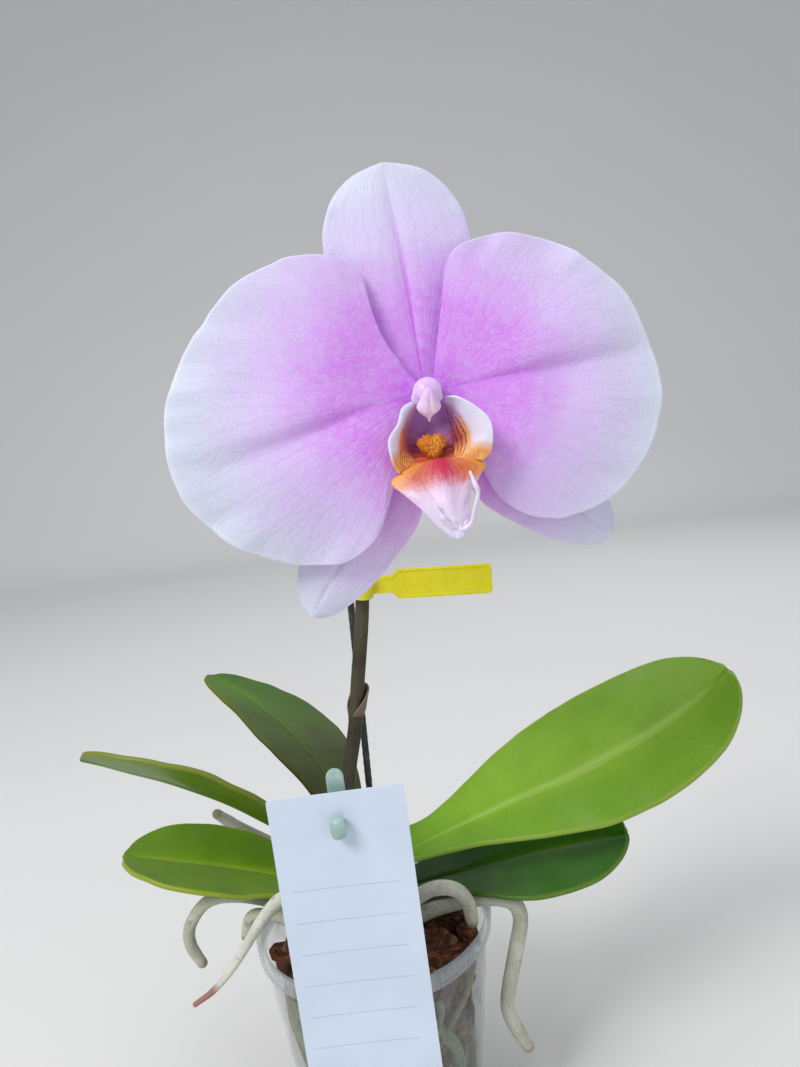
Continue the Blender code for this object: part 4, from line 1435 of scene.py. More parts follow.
@dataclass
class Sepals(Flower):
    """The three sepals behind the petals."""

    columns: int = 48
    rows: int = 72

    def place(self, shape: SepalShape) -> Place:
        """The sepal as a function of across and along.

        Args:
            shape: the sepal.

        Returns:
            The point at (s, t), in the model.
        """
        base = Vector((*shape.base, 0.0))
        reach = Vector((*shape.tip, 0.0)) - base
        length = reach.length
        along = reach.normalized()
        across = Vector((along.y, -along.x, 0.0))

        def place(s: float, t: float) -> Vector:
            """The sepal's point at (s, t).

            Args:
                s: from -1 to 1 across.
                t: from 0 to 1 along.

            Returns:
                The point.
            """
            far = math.sin(math.pi / 2 * t) ** 1.15
            half = shape.half * blade_width(far, shape.neck, shape.peak, shape.taper)
            half *= 1 + 0.014 * ripple(Vector((s, far * 9, 1.0)), 1.0, 3.0)
            start = -2.6 * (1 - smoothstep(far / 0.12))
            point = base + along * (length * far + start) + across * (s * half)
            bow = 1.6 * math.sin(math.pi * far) - shape.back * far ** 2
            keel = 0.55 * bell(s, 0.10) * smoothstep(far / 0.2) * smoothstep((1 - far) / 0.2)
            dish = -1.7 * s * s * smoothstep(far / 0.3)
            swells = 0.55 * ripple(point, 11.0, 1.5) * smoothstep(far / 0.3)
            frill = smoothstep((abs(s) - 0.7) / 0.3) * ripple(point, 5.0, 6.0) * 0.5
            return self.at(Vector((point.x, point.y, -3.0 + bow + dish - keel + swells + frill)))

        return place

    def build(self) -> None:
        """Make the three sepals."""
        for shape in SEPALS:
            obj = add_sheet(shape.name + "_blade", self.columns, self.rows, self.place(shape))
            face_toward(obj, self.front)
            thicken(obj, self.sepal_thickness)
            root = tuple(self.at(Vector((*shape.base, -3.0))))
            face = PetalFinish(shape.name + "_lilac", root, stripe=0.85, body=shape.body,
                               heart=shape.heart, throat=srgb(202, 104, 228), veins=13.0)
            back = PetalFinish(shape.name + "_back", root, body=srgb(224, 200, 244),
                               heart=srgb(210, 170, 226), throat=srgb(176, 160, 160),
                               vein=srgb(196, 150, 216), veins=13.0)
            dress(obj, (face.make(), back.make()), [shape.name])


@dataclass
class Column(Flower):
    """The column, its anther cap, and the stalk behind the flower."""

    stalk_from: tuple[Point, ...] = ((27.4, -58.6, 286.9), (28.4, -61.6, 287.2),
                                     (31.4, -68.0, 286.6), (34.4, -75.6, 282.4))
    stalk_radius: float = 0.0017

    def hood(self, share: float, angle: float) -> float:
        """The column's radius, flattened underneath and swollen at its head.

        Args:
            share: how far along, from 0 to 1.
            angle: the angle round, in radians.

        Returns:
            The radius in metres.
        """
        swell = 0.84 + 0.14 * math.sin(math.pi * min(share * 1.1, 1.0))
        swell += 0.10 * bell(share - 0.86, 0.13)
        flat = 1 - 0.16 * max(0.0, math.cos(angle - self.under)) * smoothstep(share / 0.4)
        return self.column_radius * MM * swell * flat

    @property
    def under(self) -> float:
        """The angle round the column that faces the lip."""
        return math.radians(-90)

    def cap_shape(self, point: Vector) -> Vector:
        """A two-chambered cap that narrows to a blunt beak.

        Args:
            point: a point of the unit ball.

        Returns:
            The point in the model.
        """
        beak = smoothstep((-point.y - 0.45) / 0.50)
        split = 0.16 * bell(point.x, 0.20) * smoothstep((point.y + 0.35) / 0.5)
        lip = bell(point.x, 0.16) * smoothstep((-point.y - 0.80) / 0.18)
        x = point.x * (2.10 + 0.85 * smoothstep((0.4 - point.y) / 0.7) - 0.75 * beak)
        y = point.y * (3.1 + 0.7 * smoothstep(point.y)) - 0.25 * beak - 1.3 * lip
        z = point.z * (2.2 - 0.7 * beak) * (1 - split)
        z += 0.45 * bell(abs(point.x) - 0.34, 0.16) * bell(point.y + 0.42, 0.22) * max(point.z, 0.0)
        tilt = math.radians(30)
        y, z = y * math.cos(tilt) - z * math.sin(tilt), y * math.sin(tilt) + z * math.cos(tilt)
        return self.at(Vector((x - 1.75, y - 3.0, z + 11.9)))

    def collar_shape(self, point: Vector) -> Vector:
        """The raised lip of the column round the cap's upper edge.

        Args:
            point: a point of the unit ball.

        Returns:
            The point in the model.
        """
        x = point.x * (2.70 + 1.20 * smoothstep((0.75 - point.y) / 1.1))
        y = math.copysign(min(abs(point.y), 0.60) ** 0.8, point.y) * 2.9
        z = point.z * 1.5 - 1.3 * bell(point.x, 0.7) * smoothstep((0.45 - point.y) / 0.7)
        return self.at(Vector((x - 1.25, y - 0.55, z + 7.4)))

    def build(self) -> None:
        """Make the column, cap, collar and stalk."""
        wax = WaxFinish("column_wax", srgb(232, 214, 246), srgb(220, 184, 242),
                        srgb(222, 160, 240), 0.25)
        points = [(0, 0.2, -5.6), (0, 0.3, -1.0), (-0.3, 0.5, 3.0), (-0.9, 0.0, 6.4),
                  (-1.4, -1.2, 9.6)]
        track = Track([self.at(Vector(p)) for p in points], 40)
        column = add_tube("column_body", track, self.hood, 36, 30)
        dress(column, (wax.make(),), ["column"])
        collar = add_lump("column_collar", 5, self.collar_shape)
        dress(collar, (wax.make(),))
        cap_wax = WaxFinish("cap_wax", srgb(238, 212, 248), srgb(226, 178, 240),
                            srgb(240, 226, 190), 0.30)
        cap = add_lump("anther_cap_body", 5, self.cap_shape)
        dress(cap, (cap_wax.make(),), ["anther_cap"])
        self.build_stalk()

    def build_stalk(self) -> None:
        """Make the stalk with its fine grooves, joining spike and flower."""
        ends = [self.at(Vector((0, 0.1, -9.5))), self.at(Vector((0, 0.2, -4.6)))]
        track = Track([*(Vector(p) * MM for p in self.stalk_from), *ends], 60)

        def radius(share: float, angle: float) -> float:
            """Six shallow grooves that fade toward the flower."""
            groove = 0.05 * math.cos(6 * angle + 2.0 * share) * smoothstep((1 - share) / 0.4)
            return self.stalk_radius * (0.92 + 0.36 * share + groove)

        stalk = add_tube("flower_stalk", track, radius, 36, 60)
        finish = SpikeFinish("stalk_skin", srgb(126, 116, 92), srgb(112, 88, 86),
                             srgb(176, 150, 150))
        dress(stalk, (finish.make(),), ["pedicel"])


@dataclass
class Lip(Flower):
    """The lip: two side wings, the hollow between them, the callus, the front lobe."""

    wing_thickness: float = 0.0007
    lobe_thickness: float = 0.0011
    left_wing: tuple[tuple[Point, ...], ...] = (
        ((-3.7, -1.6, 5), (-7.3, -2.9, 6.4), (-9.0, -6.7, 8.4), (-10.9, -8.7, 9.6),
         (-11.8, -10.4, 10.4), (-11.8, -13.5, 10.6), (-11.1, -16.1, 10.4), (-9.9, -18.2, 9.8)),
        ((-3.6, -2.1, 5), (-5.6, -4.2, 5.6), (-7.2, -6.5, 6.8), (-8.3, -8.7, 7.6),
         (-8.9, -10.9, 8.0), (-9.3, -13.2, 8.4), (-9.4, -15.6, 8.8), (-8.8, -17.6, 8.8)),
        ((-3.0, -3.0, 1.2), (-4.4, -5.6, 1.4), (-5.6, -8.0, 1.8), (-6.4, -10.2, 2.4),
         (-6.6, -12.4, 3.4), (-6.2, -14.4, 5.0), (-5.7, -16.2, 7.0), (-5.2, -17.2, 8.2)),
    )
    right_wing: tuple[tuple[Point, ...], ...] = (
        ((3.6, -1.2, 4), (5.9, -1.6, 6.2), (8.8, -3.6, 8.4), (11.2, -6.0, 9.6), (12.5, -8.1, 10.2),
         (12.8, -10.7, 10.6), (12.4, -13.7, 10.6), (11.7, -15.9, 10.4), (9.6, -17.4, 10.0)),
        ((3.7, -1.8, 3.4), (5.4, -2.8, 4.6), (7.2, -5.0, 6.6), (8.6, -7.4, 8.0), (9.3, -9.6, 8.8),
         (9.2, -11.8, 9.2), (8.4, -13.9, 9.4), (7.2, -15.5, 9.2), (5.6, -16.6, 8.8)),
        ((3.2, -2.6, 1.4), (3.9, -4.4, 1.6), (4.3, -6.4, 2.2), (4.4, -8.6, 3.0), (4.3, -10.8, 4.0),
         (4.1, -12.8, 5.2), (3.7, -14.6, 6.6), (3.0, -15.9, 7.6), (2.2, -16.8, 8.2)),
    )
    hollow: tuple[tuple[Point, ...], ...] = (
        ((-3.2, -2.4, 1.4), (-6.2, -8.4, 2.6), (-6.8, -12.8, 3.8), (-5.6, -17.0, 8.2)),
        ((-0.1, -3.2, 0.0), (-0.8, -8.8, 0.6), (-1.0, -13.4, 3.6), (-0.8, -17.0, 8.6)),
        ((3.4, -2.2, 1.6), (4.6, -8.4, 3.0), (4.4, -12.8, 5.0), (2.8, -16.8, 8.2)),
    )
    lobe: tuple[tuple[Point, ...], ...] = (
        ((-5.4, -16.8, 8.6), (-9.6, -18.3, 8.9), (-12.3, -20.2, 9.0), (-10.4, -22.5, 11.4),
         (-7.6, -25.3, 13.2), (-5.6, -27.7, 14.3), (-3.4, -30.5, 15.4), (0.0, -33.8, 16.6)),
        ((-0.4, -15.8, 9.2), (-0.5, -17.6, 10.9), (-0.6, -19.4, 12.1), (-0.7, -21.8, 13.6),
         (-0.5, -24.3, 14.8), (-0.3, -26.8, 15.8), (0.2, -30.2, 16.7), (0.9, -34.2, 17.2)),
        ((4.6, -16.6, 8.6), (8.3, -17.0, 8.9), (10.5, -18.3, 9.0), (8.2, -21.0, 10.8),
         (5.9, -23.0, 12.0), (4.7, -25.8, 13.4), (4.0, -29.9, 15.2), (1.8, -33.8, 16.6)),
    )
    tendrils: tuple[tuple[Point, ...], ...] = (
        ((1.0, -32.2, 16.7), (2.9, -31.9, 17.2), (4.3, -30.3, 17.8), (4.9, -28.0, 18.2),
         (5.6, -25.8, 18.5), (6.0, -24.2, 18.6), (5.4, -21.6, 18.4), (4.8, -19.2, 17.8)),
        ((0.2, -32.0, 16.9), (-1.2, -30.4, 17.6), (-2.5, -28.6, 17.9), (-3.4, -26.7, 17.6),
         (-3.6, -25.4, 17.0)),
    )

    def callus_shape(self, point: Vector) -> Vector:
        """Two warty humps side by side.

        Args:
            point: a point of the unit ball.

        Returns:
            The point in the model.
        """
        cleft = 0.16 * bell(point.x, 0.20) * smoothstep((point.y - 0.1) / 0.6)
        near = noise.voronoi(point * 4.4)[0][0]
        grain = 0.52 * (0.40 - min(near, 0.40))
        swell = 0.92 - cleft + grain + 0.05 * ripple(point, 0.5, 2.0)
        narrow = 1 - 0.42 * smoothstep((0.35 - point.y) / 1.2)
        x = point.x * 3.7 * swell * narrow
        y = point.y * 3.4 * swell + 0.5 * abs(point.x)
        z = point.z * 3.0 * swell
        return self.at(Vector((x - 1.25, y - 13.0, z + 7.0)))

    def add_wing(self, name: str, rails: Sequence[Sequence[Point]], finish: WingFinish) -> None:
        """Make one side wing.

        Args:
            name: the piece's name.
            rails: its rim, its middle and its foot.
            finish: its colours.
        """
        surface = rails_surface(rails, self.at)

        def place(s: float, t: float) -> Vector:
            """The wing with a softly waved rim."""
            wave = 0.00022 * (1 - s) / 2 * ripple(Vector((s, t * 9, 4.0)), 1.0, 8.0)
            return surface(s, t) + self.front * wave

        obj = add_sheet(name, 22, 44, place)
        face_toward(obj, self.front)
        thicken(obj, self.wing_thickness)
        outside = WaxFinish(name + "_outside", srgb(228, 214, 238), srgb(206, 176, 220),
                            srgb(192, 130, 190), 0.3)
        dress(obj, (finish.make(), outside.make()), ["lip"])

    def build(self) -> None:
        """Make the lip's pieces."""
        self.add_wing("lip_wing_left", self.left_wing, WingFinish("wing_left_face", white_to=0.34))
        self.add_wing("lip_wing_right", self.right_wing,
                      WingFinish("wing_right_face"))
        hollow = add_sheet("lip_hollow", 26, 30, rails_surface(self.hollow, self.at))
        face_toward(hollow, self.front)
        thicken(hollow, self.wing_thickness)
        dress(hollow, (ThroatFinish().make(), ThroatFinish("throat_back").make()),
              ["lip"])
        callus = add_lump("lip_callus", 6, self.callus_shape)
        dress(callus, (CallusFinish().make(),), ["lip"])
        self.build_lobe()
        self.build_tendrils()

    def build_lobe(self) -> None:
        """Make the front lobe with its raised keel and square shoulders."""
        surface = rails_surface(self.lobe, self.at)

        def place(s: float, t: float) -> Vector:
            """The lobe with a keel, a groove each side and an uneven rim.

            Args:
                s: from -1 to 1 across.
                t: from 0 to 1 along.

            Returns:
                The point.
            """
            keel = 0.0005 * bell(s, 0.16) * smoothstep((1 - t) / 0.5)
            groove = -0.00035 * bell(abs(s) - 0.42, 0.18) * smoothstep((0.8 - t) / 0.5)
            wave = 0.00028 * smoothstep(abs(s)) * ripple(Vector((s * 2, t * 8, 2.0)), 1.0, 5.0)
            crimp = 0.0007 * smoothstep((t - 0.70) / 0.2)
            crimp *= ripple(Vector((s * 3, t * 16, 7.0)), 1.0)
            return surface(s, t) + self.front * (keel + groove + wave + crimp)

        obj = add_sheet("lip_front_lobe", 40, 56, place)
        face_toward(obj, self.front)
        thicken(obj, self.lobe_thickness)
        back = WaxFinish("midlobe_back", srgb(226, 200, 214), srgb(206, 150, 170),
                         srgb(204, 120, 80), 0.4)
        dress(obj, (MidlobeFinish().make(), back.make()), ["lip"])

    def build_tendrils(self) -> None:
        """Make the two curled tendrils at the lobe's tip."""
        wax = WaxFinish("tendril_wax", srgb(234, 228, 242), srgb(222, 204, 230),
                        srgb(216, 150, 204), 0.3)
        for name, points in zip(("lip_tendril_right", "lip_tendril_left"), self.tendrils):
            track = Track([self.at(Vector(p)) for p in points], 50)
            knob = 0.75 if name.endswith("right") else 0.5

            def radius(share: float, angle: float, knob: float = knob) -> float:
                """A thin thread with a small knob on it."""
                return (0.62 - 0.30 * share + 0.28 * bell(share - knob, 0.09)) * MM

            tendril = add_tube(name, track, radius, 16, 50)
            dress(tendril, (wax.make(),), ["lip"])


# ---------------------------------------------------------------- leaves
@dataclass(frozen=True)
class LeafShape:
    """One leaf, from its place on the stem to its tip, in degrees and metres."""

    name: str
    height: float
    heading: tuple[float, float]
    rise: tuple[float, float, float]
    roll: tuple[float, float]
    length: float
    width: float
    peak: float
    neck: float
    finish: LeafFinish


LEAVES = (
    LeafShape("leaf_upper_right", 0.1030, (10, 1), (22, 17, 44), (6, 34), 0.152, 0.060, 0.56,
              0.24, LeafFinish("leaf_bright", srgb(124, 168, 34), srgb(98, 146, 20),
                               srgb(178, 204, 104), srgb(160, 168, 80), srgb(86, 130, 24))),
    # painted shade: this leaf lies under the upper right one, so its greens are darkened and its
    # base darkest
    LeafShape("leaf_lower_right", 0.0905, (14, -14), (6, 8, 12), (0, 20), 0.093, 0.053, 0.58,
              0.26, LeafFinish("leaf_deep", srgb(66, 124, 18), srgb(40, 94, 8),
                               srgb(112, 160, 50), srgb(120, 138, 50), srgb(26, 62, 10),
                               foot_reach=0.6)),
    LeafShape("leaf_lower_left", 0.0935, (173, 183), (19, 15, 16), (-2, -2), 0.087, 0.044, 0.60,
              0.34, LeafFinish("leaf_olive", srgb(118, 158, 28), srgb(88, 134, 16),
                               srgb(164, 186, 78), srgb(178, 172, 66), srgb(84, 116, 24))),
    LeafShape("leaf_middle_left", 0.1010, (180, 181), (54, 31, 20), (38, 26), 0.110, 0.047, 0.60,
              0.28, LeafFinish("leaf_shade", srgb(96, 132, 26), srgb(68, 104, 14),
                               srgb(140, 164, 62), srgb(150, 138, 60), srgb(78, 84, 26),
                               foot_reach=0.6)),
    # painted shade: this leaf's greens are darkened all over; its browner base is partly a brown
    # tinge, partly shade
    LeafShape("leaf_upper_left", 0.1090, (117, 148), (58, 25, 24), (20, 16), 0.110, 0.045, 0.50,
              0.30, LeafFinish("leaf_old", srgb(74, 120, 2), srgb(44, 82, 0),
                               srgb(106, 138, 30), srgb(124, 112, 36), srgb(50, 36, 16),
                               gloss=0.46, foot_reach=0.80)),
)


@dataclass
class Foliage:
    """The leaves and the short stem that they clasp."""

    thickness: float = 0.0019
    stem_radius: float = 0.0080
    foot_gap: float = 0.0013              # from the stem to the middle of a leaf's foot
    wrap_gap: float = 0.0012              # from the stem to the curve of a sheath
    sheath_share: float = 0.13            # how much of the rows the sheath takes
    sheath_drop: float = 0.016
    sheath_half: float = 0.0125
    neck_half: float = 0.0115
    fold: float = 0.16
    columns: int = 44
    rows: int = 110

    def stations(self, shape: LeafShape) -> list[tuple[Vector, Vector, Vector, float, float]]:
        """Walk along a leaf from its sheath to its tip.

        Args:
            shape: the leaf.

        Returns:
            For each row: the middle, the direction across, the direction of the upper
            face, the half-width, and how tightly the row is curved round the stem.
        """
        out = []
        sheath = self.sheath_share
        az = math.radians(shape.heading[0])
        outward = Vector((math.cos(az), math.sin(az), 0.0))
        side = Vector((-math.sin(az), math.cos(az), 0.0))
        middle = outward * (self.stem_radius + self.foot_gap) + Vector((0, 0, shape.height))
        el_start = math.radians(shape.rise[0])
        before = 0.0
        for j in range(self.rows + 1):
            share = j / self.rows
            if share < sheath:
                k = share / sheath
                down = self.sheath_drop * (1 - k)
                out_to = self.stem_radius + self.foot_gap - self.wrap_gap * (1 - k)
                point = outward * out_to + Vector((0, 0, shape.height - down))
                rise = math.pi / 2 + (el_start - math.pi / 2) * smoothstep(k) * 0.75
                along = outward * math.cos(rise) + Vector((0, 0, 1)) * math.sin(rise)
                up = along.cross(side)
                half = self.sheath_half - 0.0010 * k
                out.append((point, side, up, half, 1.0 / (self.stem_radius + self.wrap_gap)))
                continue
            t = 1 - (1 - (share - sheath) / (1 - sheath)) ** 1.5
            az = math.radians(shape.heading[0] + (shape.heading[1] - shape.heading[0]) * t)
            el = math.radians(through(t, *shape.rise))
            roll = math.radians(shape.roll[0] + (shape.roll[1] - shape.roll[0]) * t)
            along = Vector((math.cos(el) * math.cos(az), math.cos(el) * math.sin(az), math.sin(el)))
            side_now = Vector((-math.sin(az), math.cos(az), 0.0))
            up = along.cross(side_now)
            across = side_now * math.cos(roll) + up * math.sin(roll)
            normal = up * math.cos(roll) - side_now * math.sin(roll)
            middle = middle + along * (shape.length * (t - before))
            before = t
            blade = shape.width / 2 * blade_width(t, shape.neck, shape.peak)
            blend = smoothstep(t / 0.16)
            half = self.neck_half * (1 - blend) + blade * blend
            curve = (1 - blend) ** 1.5 / (self.stem_radius + self.wrap_gap)
            out.append((middle.copy(), across, normal, half, curve))
        return out

    def place(self, shape: LeafShape) -> Place:
        """The leaf as a function of across and along.

        Args:
            shape: the leaf.

        Returns:
            The point at (s, t), in the model.
        """
        stations = self.stations(shape)

        def place(s: float, t: float) -> Vector:
            """The leaf's point at (s, t).

            Args:
                s: from -1 to 1 across.
                t: from 0 to 1 along.

            Returns:
                The point.
            """
            middle, across, normal, half, curve = stations[round(t * self.rows)]
            reach = s * half * (1 + 0.010 * ripple(Vector((s, t * 5, 1.0)), 1.0, 2.0))
            if curve > 1.0:
                bend = reach * curve
                x = math.sin(bend) / curve
                z = (1 - math.cos(bend)) / curve
            else:
                x = reach
                z = 0.0
            open_share = 1 - min(curve * (self.stem_radius + self.wrap_gap), 1.0)
            z += open_share * self.fold * half * abs(s) ** 1.5
            z -= open_share * 0.00075 * bell(s, 0.07)
            point = middle + across * x + normal * z
            swell = 0.00075 * ripple(point, 0.022, 3.0)
            swell += 0.0006 * ripple(point, 0.010, 6.0) * abs(s)
            return point + normal * (swell * smoothstep(t / 0.3))

        return place

    def build(self) -> None:
        """Make the leaves and the stem."""
        for shape in LEAVES:
            obj = add_sheet(shape.name + "_blade", self.columns, self.rows, self.place(shape))
            face_toward(obj, Vector((0, 0, 1)))
            thicken(obj, self.thickness)
            top = shape.finish
            under = LeafFinish(top.name + "_under", top.rib, top.blade, top.edge, top.edge,
                               top.foot, 0.5)
            dress(obj, (top.make(), under.make()), [shape.name])
        self.build_stem()

    def build_stem(self) -> None:
        """Make the stem: a core ringed where old leaves came off."""
        core = Track([Vector((0, 0, z)) for z in (0.061, 0.088, 0.1165)], 30)

        def radius(share: float, angle: float) -> float:
            """Rings where old leaves came off, narrowing to the growing point.

            Args:
                share: how far along, from 0 to 1.
                angle: the angle round, in radians.

            Returns:
                The radius in metres.
            """
            rings = 0.0004 * math.sin(share * 40) + 0.0003 * math.sin(3 * angle + share * 9)
            taper = 1 - 0.55 * smoothstep((share - 0.55) / 0.45)
            return (self.stem_radius - 0.0004) * taper + rings

        stem = add_tube("stem_core", core, radius, 36, 60, cap=0.003)
        skin = LeafFinish("stem_skin", srgb(98, 110, 54), srgb(72, 74, 38), srgb(140, 136, 84),
                          srgb(110, 90, 60), srgb(86, 72, 48), 0.5)
        dress(stem, (skin.make(),), ["crown_stem"])


# ---------------------------------------------------------------- pot
@dataclass
class Pot:
    """The clear nursery pot: thin wall, stiff rim, feet and drain holes."""

    rim_radius: float = 0.045
    wall_at_rim: float = 0.0438
    base_radius: float = 0.033
    height: float = 0.085
    wall: float = 0.0011
    floor: float = 0.0018
    band: float = 0.0066
    drains: int = 6
    drain_radius: float = 0.004
    drain_ring: float = 0.018
    around: int = 144

    def wall_radius(self, z: float) -> float:
        """Outer radius at a height."""
        return self.base_radius + (self.wall_at_rim - self.base_radius) * z / self.height

    def profile(self) -> list[tuple[float, float]]:
        """The pot's section, from the inside of the floor round to its underside.

        Returns:
            Radius and height pairs in metres.
        """
        out = [(0.0, self.floor), (self.wall_radius(0.002) - self.wall - 0.002, self.floor),
               (self.wall_radius(0.003) - self.wall, 0.0035)]
        top = self.height
        for k in range(1, 10):
            z = 0.0035 + (top - self.band - 0.0035) * k / 9
            out.append((self.wall_radius(z) - self.wall, z))
        out += [(self.wall_at_rim - self.wall, top - 0.0006),
                (self.wall_at_rim - self.wall * 0.5, top),
                (self.rim_radius - 0.0005, top), (self.rim_radius, top - 0.0005),
                (self.rim_radius, top - 0.0021), (self.rim_radius - 0.0004, top - 0.0025),
                (self.rim_radius - 0.0004, top - self.band + 0.0009),
                (self.rim_radius - 0.0007, top - self.band + 0.0003),
                (self.wall_radius(top - self.band), top - self.band)]
        for z in (0.062, 0.0612, 0.0606, 0.040, 0.0392, 0.0386, 0.018, 0.006):
            step = 0.00022 if z in (0.0612, 0.0392) else 0.0
            out.append((self.wall_radius(z) + step, z))
        out += [(self.wall_radius(0.002), 0.0022), (self.base_radius - 0.0004, 0.0008),
                (self.base_radius - 0.0016, 0.0), (self.base_radius - 0.0050, 0.0),
                (self.base_radius - 0.0056, 0.0006), (0.0, 0.0006)]
        return out

    def build(self) -> None:
        """Make the pot and cut its drain holes."""
        profile = self.profile()
        rows = len(profile) - 1

        def place(s: float, t: float) -> Vector:
            """A point of the section, turned about the axis.

            Args:
                s: from -1 to 1 across.
                t: from 0 to 1 along.

            Returns:
                The point.
            """
            r, z = profile[round(t * rows)]
            return round_axis(r, math.pi * (s + 1), z)

        pot = add_sheet("pot_clear", self.around, rows, place)
        close_seam(pot)
        for i in range(self.drains):
            angle = 2 * math.pi * i / self.drains
            deselect_all()
            bpy.ops.mesh.primitive_cylinder_add(vertices=28, radius=self.drain_radius, depth=0.02,
                                                location=round_axis(self.drain_ring, angle, 0.0))
            drill = bpy.context.object
            apply_modifier(pot, "BOOLEAN", operation="DIFFERENCE", solver="EXACT", object=drill)
            bpy.data.objects.remove(drill)
        shade(pot, 40)
        dress(pot, (PotFinish().make(),), ["nursery_pot"])


# ---------------------------------------------------------------- roots and spike
@dataclass(frozen=True)
class RootShape:
    """One aerial root: its thickness and path in mm, and the finish it wears."""

    name: str
    diameter: float
    path: tuple[Point, ...]
    finish: RootFinish
    taper: float = 0.12


PALE = RootFinish("root_pale")
ROOTS = (
    RootShape("aerial_root_raised", 5.4, ((-4, 6.4, 80), (-7.0, 10.4, 81), (-22, 26, 88),
              (-40, 35, 97), (-54, 36, 106), (-64.8, 33, 117)),
              RootFinish("root_raised", damp_share=0.6, tip=srgb(150, 152, 118))),
    RootShape("aerial_root_left", 5.2, ((-5, 0.4, 80), (-11.6, 0.6, 82), (-30, 1.6, 90),
              (-50, 1, 97), (-62, 0, 97), (-70, 0, 89), (-71.6, 0, 80), (-67.4, 0, 70)),
              RootFinish("root_left", tip=srgb(160, 150, 120))),
    RootShape("aerial_root_short", 4.6, ((-4.6, -4, 78), (-9.4, -6.6, 80), (-26, -8.4, 88.5),
              (-38, -8, 93.5), (-45.4, -7, 93), (-48.4, -8, 84)), PALE),
    RootShape("aerial_root_front", 6.0, ((-3.0, -6.0, 84), (-5.2, -10.6, 88), (-12, -18, 98),
              (-20, -24, 107), (-28, -26, 110.6), (-35.6, -31, 106.4), (-45.6, -36, 94.6),
              (-52, -41, 90), (-58.7, -45, 87.8)),
              RootFinish("root_front", srgb(216, 216, 200), damp_share=0.25, tip=srgb(150, 84, 78),
                         tip_from=0.86), 0.66),
    RootShape("aerial_root_over_bark", 5.6, ((5.4, -4, 84), (9.6, -6.6, 87), (17, -12, 96),
              (24, -16, 101.6), (31, -18, 102), (35.4, -17, 96.6), (36.6, -15, 88.6),
              (36.8, -14.4, 84)), PALE),
    RootShape("aerial_root_right", 6.0, ((6, -0.8, 79), (11.8, -1.6, 80), (22, -3, 85),
              (35, -5, 88.9), (45, -7, 90), (52.6, -9.2, 88.6), (55, -10, 82), (52, -12, 71),
              (47.8, -14, 57.4), (46.8, -14, 48.6), (49.8, -12, 38), (54, -10, 27.6)),
              RootFinish("root_right", damp_share=0.4, tip=srgb(158, 140, 116))),
    RootShape("aerial_root_back", 5.6, ((5, 6, 82), (8.0, 8.8, 84), (13, 24, 89), (16, 38, 91.4),
              (18, 47.6, 87), (20, 51.8, 73), (18.6, 50.6, 56)), PALE),
)


@dataclass
class Roots:
    """The aerial roots, and the ones pressed against the pot's wall."""

    wall_roots: int = 6
    wall_diameter: float = 5.2
    inner_roots: int = 9
    low: float = 0.012
    high: float = 0.064
    pot: Pot = field(default_factory=Pot)

    def girth(self, diameter: float, seed: float,
              taper: float = 0.12) -> Callable[[float, float], float]:
        """The radius of a slightly lumpy root.

        Args:
            diameter: in mm.
            seed: where its lumps come from.
            taper: the share of the radius lost toward the tip.

        Returns:
            The radius in metres at (share along, angle round).
        """
        def radius(share: float, angle: float) -> float:
            """Swells, a few dents, and a narrowing toward the growing tip.

            Args:
                share: how far along, from 0 to 1.
                angle: the angle round, in radians.

            Returns:
                The radius in metres.
            """
            around = Vector((math.cos(angle), math.sin(angle), share * 16))
            lumps = 0.045 * ripple(around, 1.6, seed) + 0.03 * ripple(around, 0.6, seed + 5)
            swell = 0.05 * ripple(Vector((share * 7, seed, 0.0)), 1.0, seed)
            tip = 1 - 0.16 * smoothstep((share - 0.90) / 0.10)
            slim = 1 - taper * smoothstep((share - 0.25) / 0.75)
            return diameter / 2 * MM * slim * tip * (1 + lumps + swell)

        return radius

    def build(self) -> None:
        """Make all the roots."""
        for k, shape in enumerate(ROOTS):
            track = Track([Vector(p) * MM for p in shape.path], 120)
            girth = self.girth(shape.diameter, k * 3.1, shape.taper)
            obj = add_tube(shape.name + "_velamen", track, girth, 28, 120)
            dress(obj, (shape.finish.make(),), [shape.name])
        self.build_wall_roots()
        self.build_inner_roots()

    def build_wall_roots(self) -> None:
        """Make the roots that show through the wall."""
        finish = RootFinish("root_wall", silver=srgb(150, 158, 122), damp=srgb(104, 124, 66),
                            damp_share=0.7, tip=srgb(96, 116, 60))
        for i in range(self.wall_roots):
            start = 2 * math.pi * i / self.wall_roots - 1.15
            points = []
            for k in range(13):
                t = k / 12
                z = self.high + (self.low - self.high) * t
                angle = start + 0.42 * math.sin(2.6 * t + i) + 0.15 * t
                r = self.pot.wall_radius(z) - 0.0018 - self.wall_diameter / 2 * MM
                points.append(round_axis(r, angle, z))
            track = Track(points, 80)
            obj = add_tube(f"wall_root_{i + 1}_velamen", track,
                           self.girth(self.wall_diameter * 0.97, 20 + i), 22, 70)
            dress(obj, (finish.make(),), [f"wall_root_{i + 1}"])

    def build_inner_roots(self) -> None:
        """Make thinner roots that weave between the bark and the wall."""
        rng = random.Random(5)
        finish = RootFinish("root_inner", silver=srgb(168, 160, 122), damp=srgb(112, 118, 70),
                            damp_share=0.6, tip=srgb(110, 112, 70))
        for i in range(self.inner_roots):
            angle = 2 * math.pi * i / self.inner_roots + 0.3
            sway = rng.uniform(-0.7, 0.7)
            points = []
            for k in range(9):
                t = k / 8
                z = 0.071 - 0.064 * t
                bearing = angle + sway * math.sin(2.2 * t) + 0.16 * math.sin(9 * t + i)
                r = self.pot.wall_radius(z) - 0.0034
                r -= 0.0016 * (0.5 + 0.5 * math.sin(7 * t + i * 2))
                points.append(round_axis(r, bearing, z))
            track = Track(points, 60)
            obj = add_tube(f"inner_root_{i + 1}", track,
                           self.girth(rng.uniform(2.4, 3.6), 40 + i), 14, 50)
            dress(obj, (finish.make(),))


